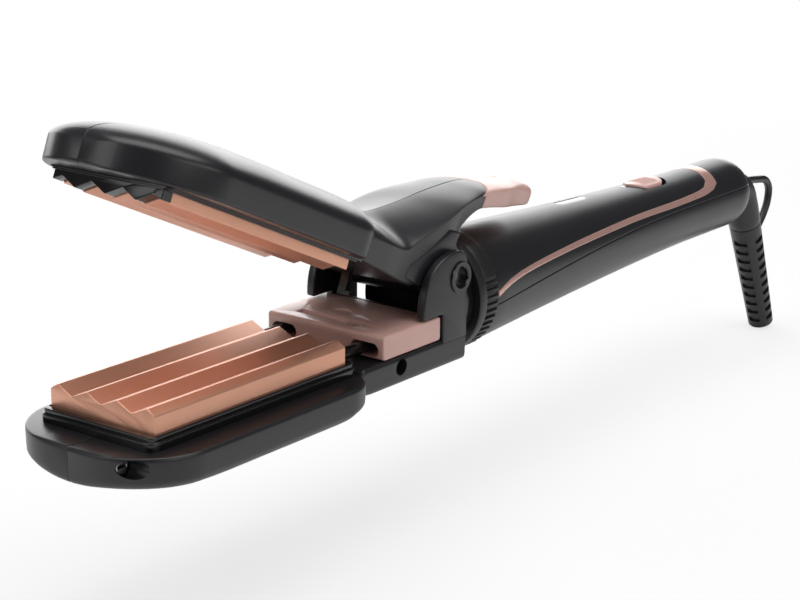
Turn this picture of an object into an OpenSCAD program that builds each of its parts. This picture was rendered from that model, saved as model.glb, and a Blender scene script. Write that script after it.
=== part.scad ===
// Hair waver: two hinged jaws with zigzag plates on a round tapered handle.
// All sizes are millimetres. The jaws point along -X, the handle along +X, up is +Z.
// Heights and lengths are written from the front edge of the lower wave plate,
// close to the handle's axis, and place() then moves the model to its origin:
// the middle of its length and width, at its lowest point.
// The upper jaw is written shut, and opened() swings it to its rest pose.

/* [Wave plates] */
// Length of the copper plates
plate_len = 67; // [62:0.5:67]
// Width of the copper plates
plate_w = 33; // [32:0.1:34]
// Distance from one wave to the next
wave_pitch = 9.4; // [9:0.1:9.8]
// Height of a wave
wave_h = 2.2; // [1:0.1:2.6]
// Gap between the two wave faces with the jaws shut
mesh_gap = 0.35; // [0.3:0.05:0.6]

/* [Jaws] */
// How far the nose stands ahead of the lower plate
nose_reach = 10.9; // [10.8:0.1:13]
// Half width of the flat front of the nose
nose_flat = 7; // [6:0.5:9]
// Half width of the lower jaw
jaw_half_w = 25.2; // [25:0.1:28]
// Half width of the neck behind the jaw
neck_half_w = 19.6; // [19.6:0.1:20.2]
// Depth of the lower jaw's belly below its side wall
belly_depth = 7; // [5:0.5:9]
// Height of the upper jaw's crown above its side wall
crown_height = 8.7; // [8:0.1:12]
// Wall thickness of the plastic shells
wall = 2; // [1.6:0.1:2.2]
// Angle between the jaws at rest
open_angle = 24.2; // [15:0.1:28]

/* [Hinge] */
// Distance of the hinge from the front of the lower plate
hinge_x = 110.8; // [110.5:0.1:111]
// Height of the hinge above the handle's axis
hinge_z = 11; // [10.8:0.1:11.2]
// Thickness of each hinge ear
ear_t = 2.6; // [2.2:0.1:2.6]
// Radius of the hinge pin
pin_r = 2.7; // [2:0.05:2.8]
// Radius of the hinge barrel
barrel_r = 7; // [6.8:0.1:7.2]
// Running clearance, on the radius
running_gap = 0.05; // [0.02:0.01:0.1]

/* [Slider] */
// Length of the lock slider along the neck
slider_len = 24; // [22:0.5:24]
// Half width of the lock slider
slider_half_w = 19.1; // [18.8:0.1:20]
// Height of the lock slider's top face
slider_top = 2.05; // [1.8:0.05:2.1]
// Travel of the lock slider
slider_travel = 3; // [1:0.5:3]

/* [Handle] */
// Front end of the handle shells
handle_front = 133.4; // [133.4:0.1:135]
// Rear end of the handle shells
handle_end = 294.5; // [290:0.5:300]
// Radius of the handle at its front end
handle_r_front = 16.4; // [15.5:0.1:17]
// Radius of the handle at its rear
handle_r_rear = 11.5; // [11.5:0.1:12]
// Length over which the handle narrows
taper_len = 120; // [100:1:130]
// Length of the rounded rear end
dome_len = 13.5; // [12:0.5:16]
// Outer radius of the locking ring
ring_r = 17; // [17:0.1:18]
// Travel of the power switch
switch_travel = 2; // [1:0.1:2]

/* [Cord exit] */
// Radius of the swivelling elbow
elbow_r = 5.4; // [5:0.1:5.6]
// Radius of the elbow's bend
elbow_bend = 8; // [7:0.5:9]
// Backward lean of the strain relief from straight down
relief_lean = 22.9; // [15:0.1:30]
// Length of the strain relief
relief_len = 42; // [40:0.5:50]
// Radius of the strain relief's free end
relief_end_r = 4.3; // [4.2:0.05:4.8]
// Radius of the cord's bore
cord_bore_r = 3; // [2.5:0.1:3]
// Number of rows of slots in the strain relief
slot_rows = 10; // [6:1:10]

/* [Hidden] */
$fn = 96;

// Colours of the finishes
black_plastic = "#33343a";
gloss_black = "#1d1d20";
rose_plastic = "#dab4ab";
copper = "#c98a6f";
rose_gold = "#d0a397";
steel = "#b9bcc0";
board_green = "#2f6b46";
ceramic = "#d8d2c4";

// Lower jaw
rim_z = -5.6;
plate_half = plate_w / 2;
valley_z = 1.2;
edge_drop = 1.4;
wall_bottom_z = -11.1;
neck_bottom_z = -9;
deck_z = -4.6;
frame_half = 18.1;
frame_front = -2.8;
frame_skirt = 0.6;
frame_rear = plate_len + 3.4;
cavity_joint_x = 64;
ear_rear = 114;
ear_front = 95.2;
ear_in = neck_half_w - ear_t;
eyelet_r = 4.3;
bulkhead_x = 103.6;
groove_depth = 1.1;
pilot_r = 1.25;
screw_bore_r = 2.2;
// Case screws: place along the jaw, height, and where the boss round each starts
screw_places = [[-7.3, -8.2, -16.5], [86, -7.4, -18.6]];

// Upper jaw, shut
upper_nose = -14;
upper_half = 25.2;
upper_wall_z = 11.85;
upper_floor_z = 6;
cheek_half = ear_in - 0.4;
spring_half = 6.4;
spring_room_r = 6;
tip_x = 124;

// Lock slider
slider_x = 79;
slider_bottom = -4.3;
slot_h = 3.8;
slot_z = -2.05;
rod_r = 1.6;
left_rod_y = 14.4;
right_rod_y = -11.6;

// Handle
axis_z = 0.3;
ring_x = 124.5;
ring_len = 8.6;
spigot_r = 13;
collar_r = 14.5;
plug_r = 9.5;
plug_len = 12;
dome_x = handle_end - dome_len;
mouth_r = elbow_r + 0.3;
stripe_depth = 0.6;
switch_x = 226;
switch_len = 17;
switch_half = 4.4;
window_x = 186;
window_len = 19;
window_half = 1.8;
led_x = 223.4;
led_r = 0.8;
board_top = 1.4;
board_t = 1.6;

// Cord exit: the elbow turns from the handle's axis to the relief's direction
turn = 90 - relief_lean;
bend_x = handle_end - 0.6;
relief_dir = [sin(relief_lean), 0, -cos(relief_lean)];
bend_end = [bend_x + elbow_bend * sin(turn), 0, axis_z - elbow_bend * (1 - cos(turn))];
plain_len = 10.6;
relief_start = bend_end + plain_len * relief_dir;
relief_end = relief_start + relief_len * relief_dir;
loop_wire_r = 1.3;

// The model's origin: the middle of its length, at the relief's lowest edge
mid_x = (relief_end[0] + relief_end_r * cos(relief_lean) - nose_reach) / 2;
low_z = relief_end[2] - relief_end_r * sin(relief_lean);

// ---- Tools ----

// Moves a piece from the working frame to the model's origin
module place() {
    translate([-mid_x, 0, -low_z]) children();
}

// Swings a shut upper-jaw piece to the rest pose
module opened() {
    translate([hinge_x, 0, hinge_z])
        rotate([0, open_angle, 0])
            translate([-hinge_x, 0, -hinge_z])
                children();
}

// Turns +Z to +X, for round parts on the handle's axis
module along_x(x = 0) {
    translate([x, 0, axis_z]) rotate([0, 90, 0]) children();
}

// Turns -Z to the strain relief's direction, from where the relief starts
module along_relief(from = 0) {
    translate(relief_start + from * relief_dir) rotate([0, 180 - relief_lean, 0]) children();
}

// A cylinder along Y between two places, at (x, z)
module y_cylinder(x, z, from, to, r) {
    translate([x, to, z]) rotate([90, 0, 0]) cylinder(h = to - from, r = r);
}

// A flat shape drawn in X and Z, carried along Y between two places
module xz_slab(from, to) {
    translate([0, to, 0]) rotate([90, 0, 0]) linear_extrude(to - from) children();
}

// A flat shape drawn in Y and Z, carried along X between two places
module yz_slab(from, to) {
    translate([from, 0, 0]) rotate([90, 0, 90]) linear_extrude(to - from) children();
}

// A box given by its lowest and highest corners
module box(low, high) {
    translate(low) cube(high - low);
}

// A flat box with rounded corners in plan
module rounded_box(low, high, r) {
    difference() {
        box(low, high);
        for (x = [0, 1], y = [0, 1])
            translate([x == 0 ? low[0] : high[0], y == 0 ? low[1] : high[1], low[2] - 1])
                rotate([0, 0, x == y ? (x == 0 ? 0 : 180) : (x == 0 ? 270 : 90)])
                    corner_scrap(r, high[2] - low[2] + 2);
    }
}

// What a rounded corner leaves over, from a corner at the origin
module corner_scrap(r, h) {
    difference() {
        translate([-1, -1, 0]) cube([r + 1, r + 1, h]);
        translate([r, r, -1]) cylinder(h = h + 2, r = r);
    }
}

// One cubic through four neighbouring points, at a share t of the middle span
function cubic(a, b, c, d, t) =
    0.5 * (2 * b + (c - a) * t + (2 * a - 5 * b + 4 * c - d) * t * t
        + (3 * b - a - 3 * c + d) * t * t * t);

// A smooth line through points p, with n steps a span
function smooth(p, n) = let(last = len(p) - 1)
    concat([for (i = [0 : last - 1], k = [0 : n - 1])
        cubic(p[max(i - 1, 0)], p[i], p[i + 1], p[min(i + 2, last)], k / n)], [p[last]]);

function reversed(p) = [for (i = [len(p) - 1 : -1 : 0]) p[i]];

// A closed solid through rings of equal length, with flat ends
module loft(rings) {
    m = len(rings[0]);
    n = len(rings);
    sides = [for (i = [0 : n - 2], j = [0 : m - 1])
        each [[i * m + j, i * m + (j + 1) % m, (i + 1) * m + j],
              [i * m + (j + 1) % m, (i + 1) * m + (j + 1) % m, (i + 1) * m + j]]];
    front = [for (j = [m - 1 : -1 : 0]) j];
    back = [for (j = [0 : m - 1]) (n - 1) * m + j];
    polyhedron([for (r = rings) each r], concat([front], sides, [back]));
}

function unit(v) = v / norm(v);

// A round tube along path points that turn about Y
module tube(path, r, sides) {
    last = len(path) - 1;
    loft([for (i = [0 : last])
        let(along = unit(path[min(i + 1, last)] - path[max(i - 1, 0)]),
            across = unit(cross([0, 1, 0], along)),
            third = cross(along, across))
        [for (k = [0 : sides - 1]) let(a = -360 * k / sides)
            path[i] + r * (cos(a) * across + sin(a) * third)]]);
}

// Half of a jaw's section at x: a flat face at z0, a side wall to z1 and an arched
// flank to z1 + rise; power 2 is an ellipse, less is hollower. The seam is at y = seam.
arch_steps = 7;
function half_section(x, w, z0, z1, rise, power = 2, seam = 0) =
    let(ring = concat([[x, seam, z0], [x, -w, z0]],
        [for (i = [0 : arch_steps - 1]) let(a = 90 * i / arch_steps)
            [x, -w * pow(cos(a), 2 / power), z1 + rise * pow(sin(a), 2 / power)]],
        [[x, 0, z1 + rise]],
        seam == 0 ? [] : [[x, seam, z1 + rise]]))
    rise > 0 ? ring : reversed(ring);

// Half width of a jaw at x: a rounded nose, a straight side, a rounded rear corner.
// bow is the nose in plan: half width of its flat front, its length and its fullness.
function jaw_w(x, nose, bow, half, corner, corner_len, neck) =
    x < nose + bow[1] ? bow[0] + (half - bow[0])
        * pow(max(0, 1 - pow((nose + bow[1] - x) / bow[1], bow[2])), 1 / bow[2])
    : x < corner ? half
    : x < corner + corner_len ? neck
        + (half - neck) * sqrt(1 - pow((x - corner) / corner_len, 2))
    : neck;

// ---- Lower jaw ----

corner_x = 60;
corner_len = 9;
neck_side_r = 4;
neck_depth = 4;
lower_bow = [nose_flat, 18, 1.9];
function lower_w(x) =
    jaw_w(x, -nose_reach, lower_bow, jaw_half_w, corner_x, corner_len, neck_half_w - 0.4);

// Depth of the belly at x: it grows from the nose and fades into the neck
belly_nose = 3;
belly_run = 30;
belly_fade = 58;
fade_len = 16;
belly_end = 3;
function belly(x) = x < belly_fade
    ? belly_nose + (belly_depth - belly_nose) * sin(90 * min(1, (x + nose_reach) / belly_run))
    : belly_end + (belly_depth - belly_end) * pow(cos(90 * min(1, (x - belly_fade) / fade_len)), 2);

// Foot of the side wall at x
function wall_foot(x) = lookup(x, [[corner_x, wall_bottom_z], [corner_x + 12, neck_bottom_z]]);

lower_stations = [-10.5, -9.6, -7.6, -4.5, -1, 4, 7.1, 16, 28, 42, 56, 60, 63, 66, 68, 68.8];
tub_end = 72;

// Right half of the lower jaw's tub, shrunk by t all round and cut at y = seam
module lower_tub(t, seam) {
    ends = [-nose_reach + t, tub_end - 1.6 * t];
    xs = concat([ends[0]], [for (x = lower_stations) if (x > ends[0] && x < ends[1]) x], [ends[1]]);
    loft([for (x = xs)
        half_section(x, lower_w(x) - t, rim_z - 0.8 * t, wall_foot(x), min(-0.3, 0.6 * t - belly(x)), 2, seam)]);
}

// Section of the right half of the neck at y below seam, rounded along its lower edge
function neck_outline(t, seam) =
    let(bottom = neck_bottom_z - neck_depth + t, side = neck_half_w - t, steps = 5)
    concat([[seam, deck_z - t], [-side, deck_z - t]],
        [for (k = [0 : steps]) let(a = 90 * k / steps)
            [neck_side_r - side - neck_side_r * cos(a), bottom + neck_side_r * (1 - sin(a))]],
        [[seam, bottom]]);

// Side view of a hinge ear, from the deck round the pivot to the rear edge
ear_outline = concat([[bulkhead_x, deck_z - 3], [bulkhead_x, 2.5], [ear_front, 2.5]],
    smooth([[ear_front, 6], [96.2, 10.2], [98.8, 14.4], [103.6, 17.4], [109.4, 18.4]], 4),
    [[112.6, 17.6], [ear_rear, 15.4], [ear_rear, deck_z - 3]]);

// One side of the lower jaw, its neck and its hinge ear, drawn on the right.
// bore_to is how deep the wide screw bores come in from outside, if at all.
module lower_side(rod_y, bore_to) {
    difference() {
        union() {
            difference() {
                union() {
                    lower_tub(0, 0);
                    yz_slab(frame_rear, ear_rear) polygon(neck_outline(0, 0));
                }
                lower_tub(wall, 1);
                yz_slab(cavity_joint_x, ear_rear - wall) polygon(neck_outline(wall, 1));
                // opening that holds the plate frame
                box([frame_front + frame_skirt, -frame_half + frame_skirt, rim_z - 3],
                    [frame_rear - 1, 1, 1]);
                // tunnel through the rear wall for the leads
                box([ear_rear - 6, -9, -8.4], [ear_rear + 1, 1, -6.4]);
            }
            xz_slab(-neck_half_w, -ear_in) polygon(ear_outline);
            // bulkhead behind the slider
            box([bulkhead_x, -ear_in - 0.5, deck_z - 1], [bulkhead_x + 1.6, 0, 1.6]);
            intersection() {
                for (s = screw_places) y_cylinder(s[0], s[1], s[2], 0, screw_bore_r + 1);
                box([-20, -30, -20], [100, 1, rim_z - 0.4]);
                union() {
                    lower_tub(0.4, 0);
                    box([cavity_joint_x, -30, -20], [100, 1, 0]);
                }
            }
        }
        // guide groove for the slider's keel
        box([89.8, -30, deck_z - groove_depth], [94.2, 1, deck_z + 1]);
        y_cylinder(hinge_x, hinge_z, -30, 0, eyelet_r);
        // room for the barrel of the upper jaw
        y_cylinder(hinge_x, hinge_z, -ear_in, 1, barrel_r + 0.4);
        translate([frame_rear, rod_y, slot_z]) rotate([0, 90, 0]) cylinder(h = 40, r = rod_r);
        for (s = screw_places) y_cylinder(s[0], s[1], -13, 1, pilot_r);
        if (bore_to < 0) for (s = screw_places) y_cylinder(s[0], s[1], -40, bore_to, screw_bore_r);
    }
}

screw_seat_y = -12;

module lower_jaw_right_shell() {
    color(black_plastic) place() lower_side(right_rod_y, screw_seat_y);
}

module lower_jaw_left_shell() {
    color(black_plastic) place() mirror([0, 1, 0]) lower_side(-left_rod_y, 0);
}

// Case screws: a round head deep in the bore and a shank across the seam
module jaw_screws() {
    head_r = 1.9;
    head_t = 1.6;
    color(steel) place() for (s = screw_places) {
        difference() {
            y_cylinder(s[0], s[1], screw_seat_y - head_t, screw_seat_y, head_r);
            // cross recess
            box([s[0] - 1.6, -20, s[1] - 0.3], [s[0] + 1.6, screw_seat_y - 0.8, s[1] + 0.3]);
            box([s[0] - 0.3, -20, s[1] - 1.6], [s[0] + 0.3, screw_seat_y - 0.8, s[1] + 1.6]);
        }
        y_cylinder(s[0], s[1], screw_seat_y, 12, pilot_r);
    }
}

// Stepped frame that seals the plate into the jaw
module lower_plate_frame() {
    skirt = frame_skirt;
    slack = 0.4;
    color(gloss_black) place() difference() {
        union() {
            rounded_box([frame_front, -frame_half, rim_z], [frame_rear, frame_half, -3.5], 3);
            rounded_box([frame_front + skirt, -frame_half + skirt, -3.5],
                [frame_rear - skirt, frame_half - skirt, -2.4], 2);
            box([frame_front + skirt, -frame_half + skirt, rim_z - 2],
                [frame_rear - 1, frame_half - skirt, rim_z]);
        }
        box([-slack, -plate_half - slack, -20], [plate_len + slack, plate_half + slack, 10]);
        rods_solid();
    }
}

// Cross-section of the wave faces, from the right edge to the left
wave_line = [for (k = [-3 : 3]) [k * wave_pitch / 2, (k % 2 == 0) ? valley_z : valley_z + wave_h]];

module lower_wave_plate() {
    edge = valley_z + wave_h - edge_drop;
    color(copper) place() yz_slab(0, plate_len)
        polygon(concat([[-plate_half, rim_z], [-plate_half, edge]], wave_line,
            [[plate_half, edge], [plate_half, rim_z]]));
}

module lower_heater() {
    color(ceramic) place() box([5, -12, rim_z - 2.6], [plate_len - 5, 12, rim_z]);
}

// Two round rods that join the plate's rear end to the hinge block and guide the slider
module rods_solid() {
    for (y = [left_rod_y, right_rod_y])
        translate([plate_len + 0.4, y, slot_z]) rotate([0, 90, 0])
            cylinder(h = bulkhead_x + 1.2 - plate_len, r = rod_r);
}

module plate_rods() {
    color(gloss_black) place() rods_solid();
}

// ---- Hinge ----

module hinge_pin() {
    color(steel) place() y_cylinder(hinge_x, hinge_z, -18, 18, pin_r);
}

// Collars pressed in the ears, standing a little proud of them
module hinge_eyelets() {
    proud = 0.5;
    color(gloss_black) place() for (side = [-1, 1])
        difference() {
            y_cylinder(hinge_x, hinge_z, min(side * ear_in, side * (neck_half_w + proud)),
                max(side * ear_in, side * (neck_half_w + proud)), eyelet_r);
            y_cylinder(hinge_x, hinge_z, -30, 30, pin_r + running_gap);
        }
}

spring_coil_r = 4.7;
spring_wire_r = 0.55;
spring_pitch = 1.7;
spring_turns = 6;
spring_steps = 14;

// Coil round the pin with a leg to the head's collar
module torsion_spring() {
    first_y = -spring_pitch * spring_turns / 2;
    coil = [for (i = [0 : spring_turns * spring_steps]) let(a = -90 + 360 * i / spring_steps)
        [hinge_x - spring_coil_r * cos(a), first_y + spring_pitch * i / spring_steps,
         hinge_z + spring_coil_r * sin(a)]];
    leg = [[ear_rear + 5, first_y, hinge_z - spring_coil_r]];
    color(steel) place() tube(concat(leg, coil), spring_wire_r, 6);
}

// Collar and plug that carry the head on the handle
module head_spigot() {
    color(gloss_black) place() difference() {
        union() {
            along_x(ear_rear) cylinder(h = ring_x - 0.3 - ear_rear, r = collar_r);
            along_x(ring_x - 0.3) cylinder(h = handle_front - ring_x + 0.3, r = spigot_r);
            along_x(handle_front) cylinder(h = plug_len, r = plug_r);
        }
        y_cylinder(hinge_x, hinge_z, -20, 20, barrel_r + 0.4);
        // room for the lever's root as the jaw opens
        box([ear_rear - 1, -20, hinge_z], [hinge_x + barrel_r + 0.4, 20, 20]);
        // spring leg and leads
        box([ear_rear - 1, -6.2, hinge_z - 5.5], [ear_rear + 5.2, -4, hinge_z - 3.9]);
        box([ear_rear - 1, -7, -8], [ear_rear + 34, 7, -6]);
    }
}

// ---- Upper jaw, all drawn shut ----

upper_corner_x = 60;
upper_neck_x = 67;
lever_plan = [[upper_neck_x, 18.6], [80, 18], [92, cheek_half], [104, 16.3], [108, 15.8],
    [114, 14.2], [120, 12.7], [tip_x, 12]];
upper_bow = [nose_flat - 2, 22, 1.7];
function upper_w(x) = x < upper_neck_x
    ? jaw_w(x, upper_nose, upper_bow, upper_half, upper_corner_x, upper_neck_x - upper_corner_x, 18.6)
    : lookup(x, lever_plan);

// Underside, top of the side strip and ridge of the neck and lever
under_line = [[70.4, upper_floor_z], [76, 5.6], [94, 4.6], [98, 6], [102, 11], [106, 16.5],
    [110, 21], [114, 24.8], [118, 28], [tip_x, 31.4]];
strip_line = [[62, upper_wall_z], [86, 12.4], [89, 12.9], [93, 16], [100.5, 21.8], [107, 26.6],
    [113, 30.4], [121, 34.2], [tip_x, 35.6]];
crown_end = 60;
ridge_line = [[crown_end, upper_wall_z + crown_height], [73, 20.1], [84, 19.3], [90.5, 21],
    [95.6, 23.2], [103.3, 27.1], [111.1, 31.4], [118, 35], [tip_x, 38.2]];
flank_power = [[66, 2], [76, 1.7], [88, 1.25], [104, 1.25], [114, 1.7], [tip_x, 2]];

// Ridge height at x: a steep nose that flattens towards the middle
crown_run = 44;
function ridge(x) = x < crown_end
    ? upper_wall_z + crown_height
        * pow(max(0, 1 - pow(max(0, 1 - (x - upper_nose) / crown_run), 2.2)), 1 / 2.2)
    : lookup(x, ridge_line);

upper_stations = [-13.7, -13, -11.6, -9, -5.5, -1, 4, 8, 18, 30, 44, 56, 60, 62.5, 65, 66.4,
    upper_neck_x, 70.4, 72, 78, 84, 88, 93, 98, 102, 106, 110, 114, 119];

// Right half of the upper jaw and lever between two places, shrunk by t
module upper_part(from, to, t, seam) {
    xs = concat([from], [for (x = upper_stations) if (x > from && x < to) x], [to]);
    loft([for (x = xs) let(z1 = lookup(x, strip_line) - 0.3 * t)
        half_section(x, upper_w(x) - t, lookup(x, under_line) + t, z1,
            ridge(x) - z1 - t + (x < upper_nose + 0.4 ? 0.3 : 0), lookup(x, flank_power), seam)]);
}

web_outline = [[92, 5], [104, 4.7], [hinge_x, hinge_z - barrel_r], [117, 9], [117.4, 13],
    [112.6, 17.8], [109.4, 19], [110.4, 22.6], [106, 22.6], [97, 16], [92, 11]];

// Hook that latches the jaws: its place, thickness and ends
hook_x = 84.3;
hook_t = 1.4;
hook_front_y = -4.4;
hook_rear_y = -2;
hook_low = -1.9;
hook_top = 7;

// One side of the upper jaw with its half of the hinge barrel
module upper_side(hook_slot) {
    difference() {
        union() {
            difference() {
                upper_part(upper_nose, tip_x, 0, 0);
                upper_part(upper_nose + wall, 96, wall, 1);
                upper_part(108, tip_x - wall, wall, 1);
                // opening that holds the plate frame
                box([-3.5, -17.6, 0], [plate_len + 2, 1, upper_floor_z + wall + 1]);
            }
            y_cylinder(hinge_x, hinge_z, -cheek_half, 0, barrel_r);
            xz_slab(-cheek_half + 0.3, -cheek_half + 3.3) polygon(web_outline);
        }
        y_cylinder(hinge_x, hinge_z, -30, 1, pin_r + running_gap);
        y_cylinder(hinge_x, hinge_z, -spring_half, 1, spring_room_r);
        if (hook_slot) box([hook_x, hook_front_y, 4], [hook_x + hook_t, hook_rear_y, hook_top]);
        // room for the spring's leg as the jaw swings
        box([hinge_x - 3, -spring_half, hinge_z - 9], [hinge_x + 9, -3.6, hinge_z - 0.6]);
    }
}

module upper_jaw_right_shell() {
    color(black_plastic) place() opened() upper_side(true);
}

module upper_jaw_left_shell() {
    color(black_plastic) place() opened() mirror([0, 1, 0]) upper_side(false);
}

// Stepped frame round the upper plate
module upper_plate_frame() {
    slack = 0.4;
    color(gloss_black) place() opened() difference() {
        union() {
            rounded_box([-4, -18.8, 5.6], [plate_len + 3, 18.8, upper_floor_z], 2);
            rounded_box([-3.6, -17.9, 5.2], [plate_len + 2, 17.9, 5.6], 1);
            box([-3.5, -17.6, upper_floor_z], [plate_len + 2, 17.6, upper_floor_z + wall]);
        }
        box([-3.5, -plate_half - slack, 0], [plate_len + slack, plate_half + slack, 20]);
    }
}

// Wave line of the upper plate, which keeps mesh_gap over the lower one
upper_wave = [for (p = wave_line) p + [0, mesh_gap]];
upper_edge_z = valley_z + wave_h + mesh_gap - 1.1;
upper_back_z = 8.6;

module upper_wave_plate() {
    color(copper) place() opened() yz_slab(0, plate_len)
        polygon(concat([[-plate_half, upper_back_z], [-plate_half, upper_edge_z]], upper_wave,
            [[plate_half, upper_edge_z], [plate_half, upper_back_z]]));
}

// Zigzag cap in front of the upper plate
module upper_end_cap() {
    lift = 0.3;
    color(gloss_black) place() opened() yz_slab(-3.5, 0)
        polygon(concat([[-plate_half - 0.3, upper_back_z], [-plate_half - 0.3, upper_edge_z + lift]],
            [for (p = upper_wave) p + [0, lift]],
            [[plate_half + 0.3, upper_edge_z + lift], [plate_half + 0.3, upper_back_z]]));
}

module upper_heater() {
    color(ceramic) place() opened()
        box([5, -12, upper_back_z], [plate_len - 5, 12, upper_back_z + 2.6]);
}

// Hook that drops through the slider's window as the jaws shut
module latch_hook() {
    color(gloss_black) place() opened() union() {
        box([hook_x, hook_front_y, hook_low], [hook_x + hook_t, hook_rear_y, hook_top]);
        box([hook_x, hook_front_y - 1.5, hook_low], [hook_x + hook_t, hook_front_y, hook_low + 1]);
    }
}

// Rose thumb rest on the end of the lever
tip_end = 154.2;
tip_under = [[tip_x, 31.4], [140, 35.6], [152, 38.9], [tip_end, 40]];
tip_strip = [[tip_x, 35.6], [144, 41], [tip_end, 42]];
tip_ridge = [[tip_x, 38.2], [132, 40.9], [140, 42.9], [148, 45.3], [151, 45.4], [153, 44.7], [tip_end, 43.4]];
tip_plan = [[tip_x, 12], [134, 11.3], [144, 8.9], [150, 8], [152.6, 6.2], [tip_end, 3.8]];

module lever_tip() {
    color(rose_plastic) place() opened() union() for (side = [0, 1]) mirror([0, side, 0])
        loft([for (x = [tip_x, 129, 134, 139, 144, 148, 150, 151.4, 152.6, 153.6, tip_end])
            let(z1 = lookup(x, tip_strip))
            half_section(x, lookup(x, tip_plan), lookup(x, tip_under), z1,
                lookup(x, tip_ridge) - z1)]);
}

// ---- Lock slider ----

module slot_shape(from, to) {
    r = slot_h / 2;
    translate([from + r, slot_z]) circle(r);
    translate([to - r, slot_z]) circle(r);
    translate([from + r, slot_z - r]) square([to - from - 2 * r, 2 * r]);
}

// Side view of the slider, with rounded long edges
module slider_profile(r) {
    low = slider_bottom;
    difference() {
        translate([slider_x, low]) square([slider_len, slider_top - low]);
        for (x = [0, 1], z = [0, 1]) {
            cx = x == 0 ? slider_x : slider_x + slider_len;
            cz = z == 0 ? low : slider_top;
            dx = x == 0 ? r : -r;
            dz = z == 0 ? r : -r;
            difference() {
                translate([min(cx, cx + dx), min(cz, cz + dz)]) square(r);
                translate([cx + dx, cz + dz]) circle(r);
            }
        }
    }
}

module lock_slider() {
    recess = 0.8;
    color(rose_plastic) place() difference() {
        union() {
            xz_slab(-slider_half_w, slider_half_w) slider_profile(1);
            box([90.1, -slider_half_w + 1, slider_bottom - 0.9], [93.9, slider_half_w - 1, slider_bottom + 0.5]);
        }
        yz_slab(slider_x - 1, slider_x + slider_len + 1) slot_shape(9.8, 17.6);
        yz_slab(slider_x - 1, slider_x + slider_len + 1) slot_shape(-17.4, -8.4);
        // long recess in the top, with the window for the hook
        box([82.9, -12.4, slider_top - recess], [85.9, 13.2, slider_top + 1]);
        box([82, -8, -1], [86.1, -1.7, slider_top + 1]);
        box([81.5, -8.2, -3.4], [88, 2.6, 0.2]);
        // thumb mark: a half round dent with a short tail
        intersection() {
            translate([90.4, 4, slider_top - recess]) cylinder(h = 2, r = 3);
            box([90.4, 0, slider_top - recess], [95, 8, slider_top + 1]);
        }
        box([90.4, -2.6, slider_top - recess], [91.4, 4, slider_top + 1]);
        // ribs cut in both ends
        for (side = [-1, 1], k = [0 : 5])
            translate([86.6 + 1.5 * k, side * slider_half_w - 0.25, -2.6]) cube([0.5, 0.5, 3]);
    }
}

// ---- Locking ring ----

rib_count = 13;
rib_pitch = 7;
rib_first = -66;

module locking_ring() {
    smooth_len = 3;
    rib_h = 0.8;
    color(black_plastic) place() along_x(ring_x) difference() {
        union() {
            cylinder(h = smooth_len, r = ring_r - 0.2);
            translate([0, 0, smooth_len]) cylinder(h = ring_len - smooth_len, r = ring_r - rib_h);
            // smooth crown over the top
            intersection() {
                translate([0, 0, smooth_len]) cylinder(h = ring_len - smooth_len, r = ring_r - 0.2);
                translate([-30, -13.5, 0]) cube([30, 27, 20]);
            }
            for (side = [-1, 1], k = [0 : rib_count - 1])
                rotate([0, 0, side * (90 - rib_first - rib_pitch * k)])
                    translate([-ring_r, -0.55, smooth_len - 0.5])
                        cube([2, 1.1, ring_len - smooth_len + 0.1]);
        }
        translate([0, 0, -1]) cylinder(h = ring_len + 2, r = spigot_r + running_gap);
        // index notch on the crown
        translate([-ring_r - 0.2, -0.5, 4.2]) cube([0.8, 1, 2.6]);
    }
}

// ---- Handle ----

// Handle radius at x: a power-law taper, a straight grip and a rounded end
taper_power = 1.4;
dome_power = 2.2;
function handle_r(x) = x < dome_x
    ? handle_r_rear + (handle_r_front - handle_r_rear)
        * pow(max(0, 1 - (x - handle_front) / taper_len), taper_power)
    : handle_r_rear * pow(max(0, 1 - pow((x - dome_x) / dome_len, dome_power)), 1 / dome_power);

dome_steps = [2, 4.5, 7, 9, 10.6, 11.8, 12.7];
handle_xs = concat([for (k = [0 : 12]) handle_front + (dome_x - handle_front) * k / 12],
    [for (d = dome_steps) dome_x + dome_len * d / 13.5]);

// The handle as one solid of revolution, grown by g
module handle_body(g) {
    mouth_x = dome_x + dome_len * pow(1 - pow(mouth_r / handle_r_rear, dome_power), 1 / dome_power);
    xs = [for (x = handle_xs) if (x < mouth_x - 0.2) x];
    ends = g > 0 ? -0.5 : 0;
    along_x() rotate_extrude() polygon(concat([[0, handle_front + ends]],
        [for (x = xs) [handle_r(x) + g, x + (x == handle_front ? ends : 0)]],
        [[mouth_r + g, mouth_x + min(g, 0)], [0, mouth_x + min(g, 0)]]));
}

// Height of the line where the two handle shells meet
parting_low = -2.2;
parting_rise = 5.8;
parting_run = 105;
function parting(x) = parting_low + parting_rise * sin(90 * min(1, (x - handle_front) / parting_run));

module above_parting(top) {
    xs = [for (k = [0 : 12]) handle_front - 2 + k * (handle_end + 4 - handle_front) / 12];
    xz_slab(-25, 25) polygon(concat([for (x = xs) [x, parting(max(x, handle_front))]],
        [[handle_end + 2, top], [handle_front - 2, top]]));
}

module handle_shell() {
    difference() {
        handle_body(0);
        handle_body(-wall);
        along_x(handle_front - 1) cylinder(h = wall + 2, r = plug_r + 1);
        along_x(handle_end - 8) cylinder(h = 12, r = mouth_r);
    }
}

// Rose band seen from the side: along the flank, then over the top near the rear
stripe_low = [[133.4, 0], [140, 2.1], [150, 3.5], [164, 4.3], [187, 5], [216, 5.4], [240, 5.1],
    [254, 5.2], [263, 6], [267.2, 7.6], [268, 10], [268, 16]];
stripe_high = [[133.4, 1.6], [140, 3.7], [150, 5], [164, 5.8], [187, 6.6], [216, 7], [240, 6.8],
    [252, 7], [259, 7.6], [262, 9], [263, 11], [263, 16]];

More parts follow.
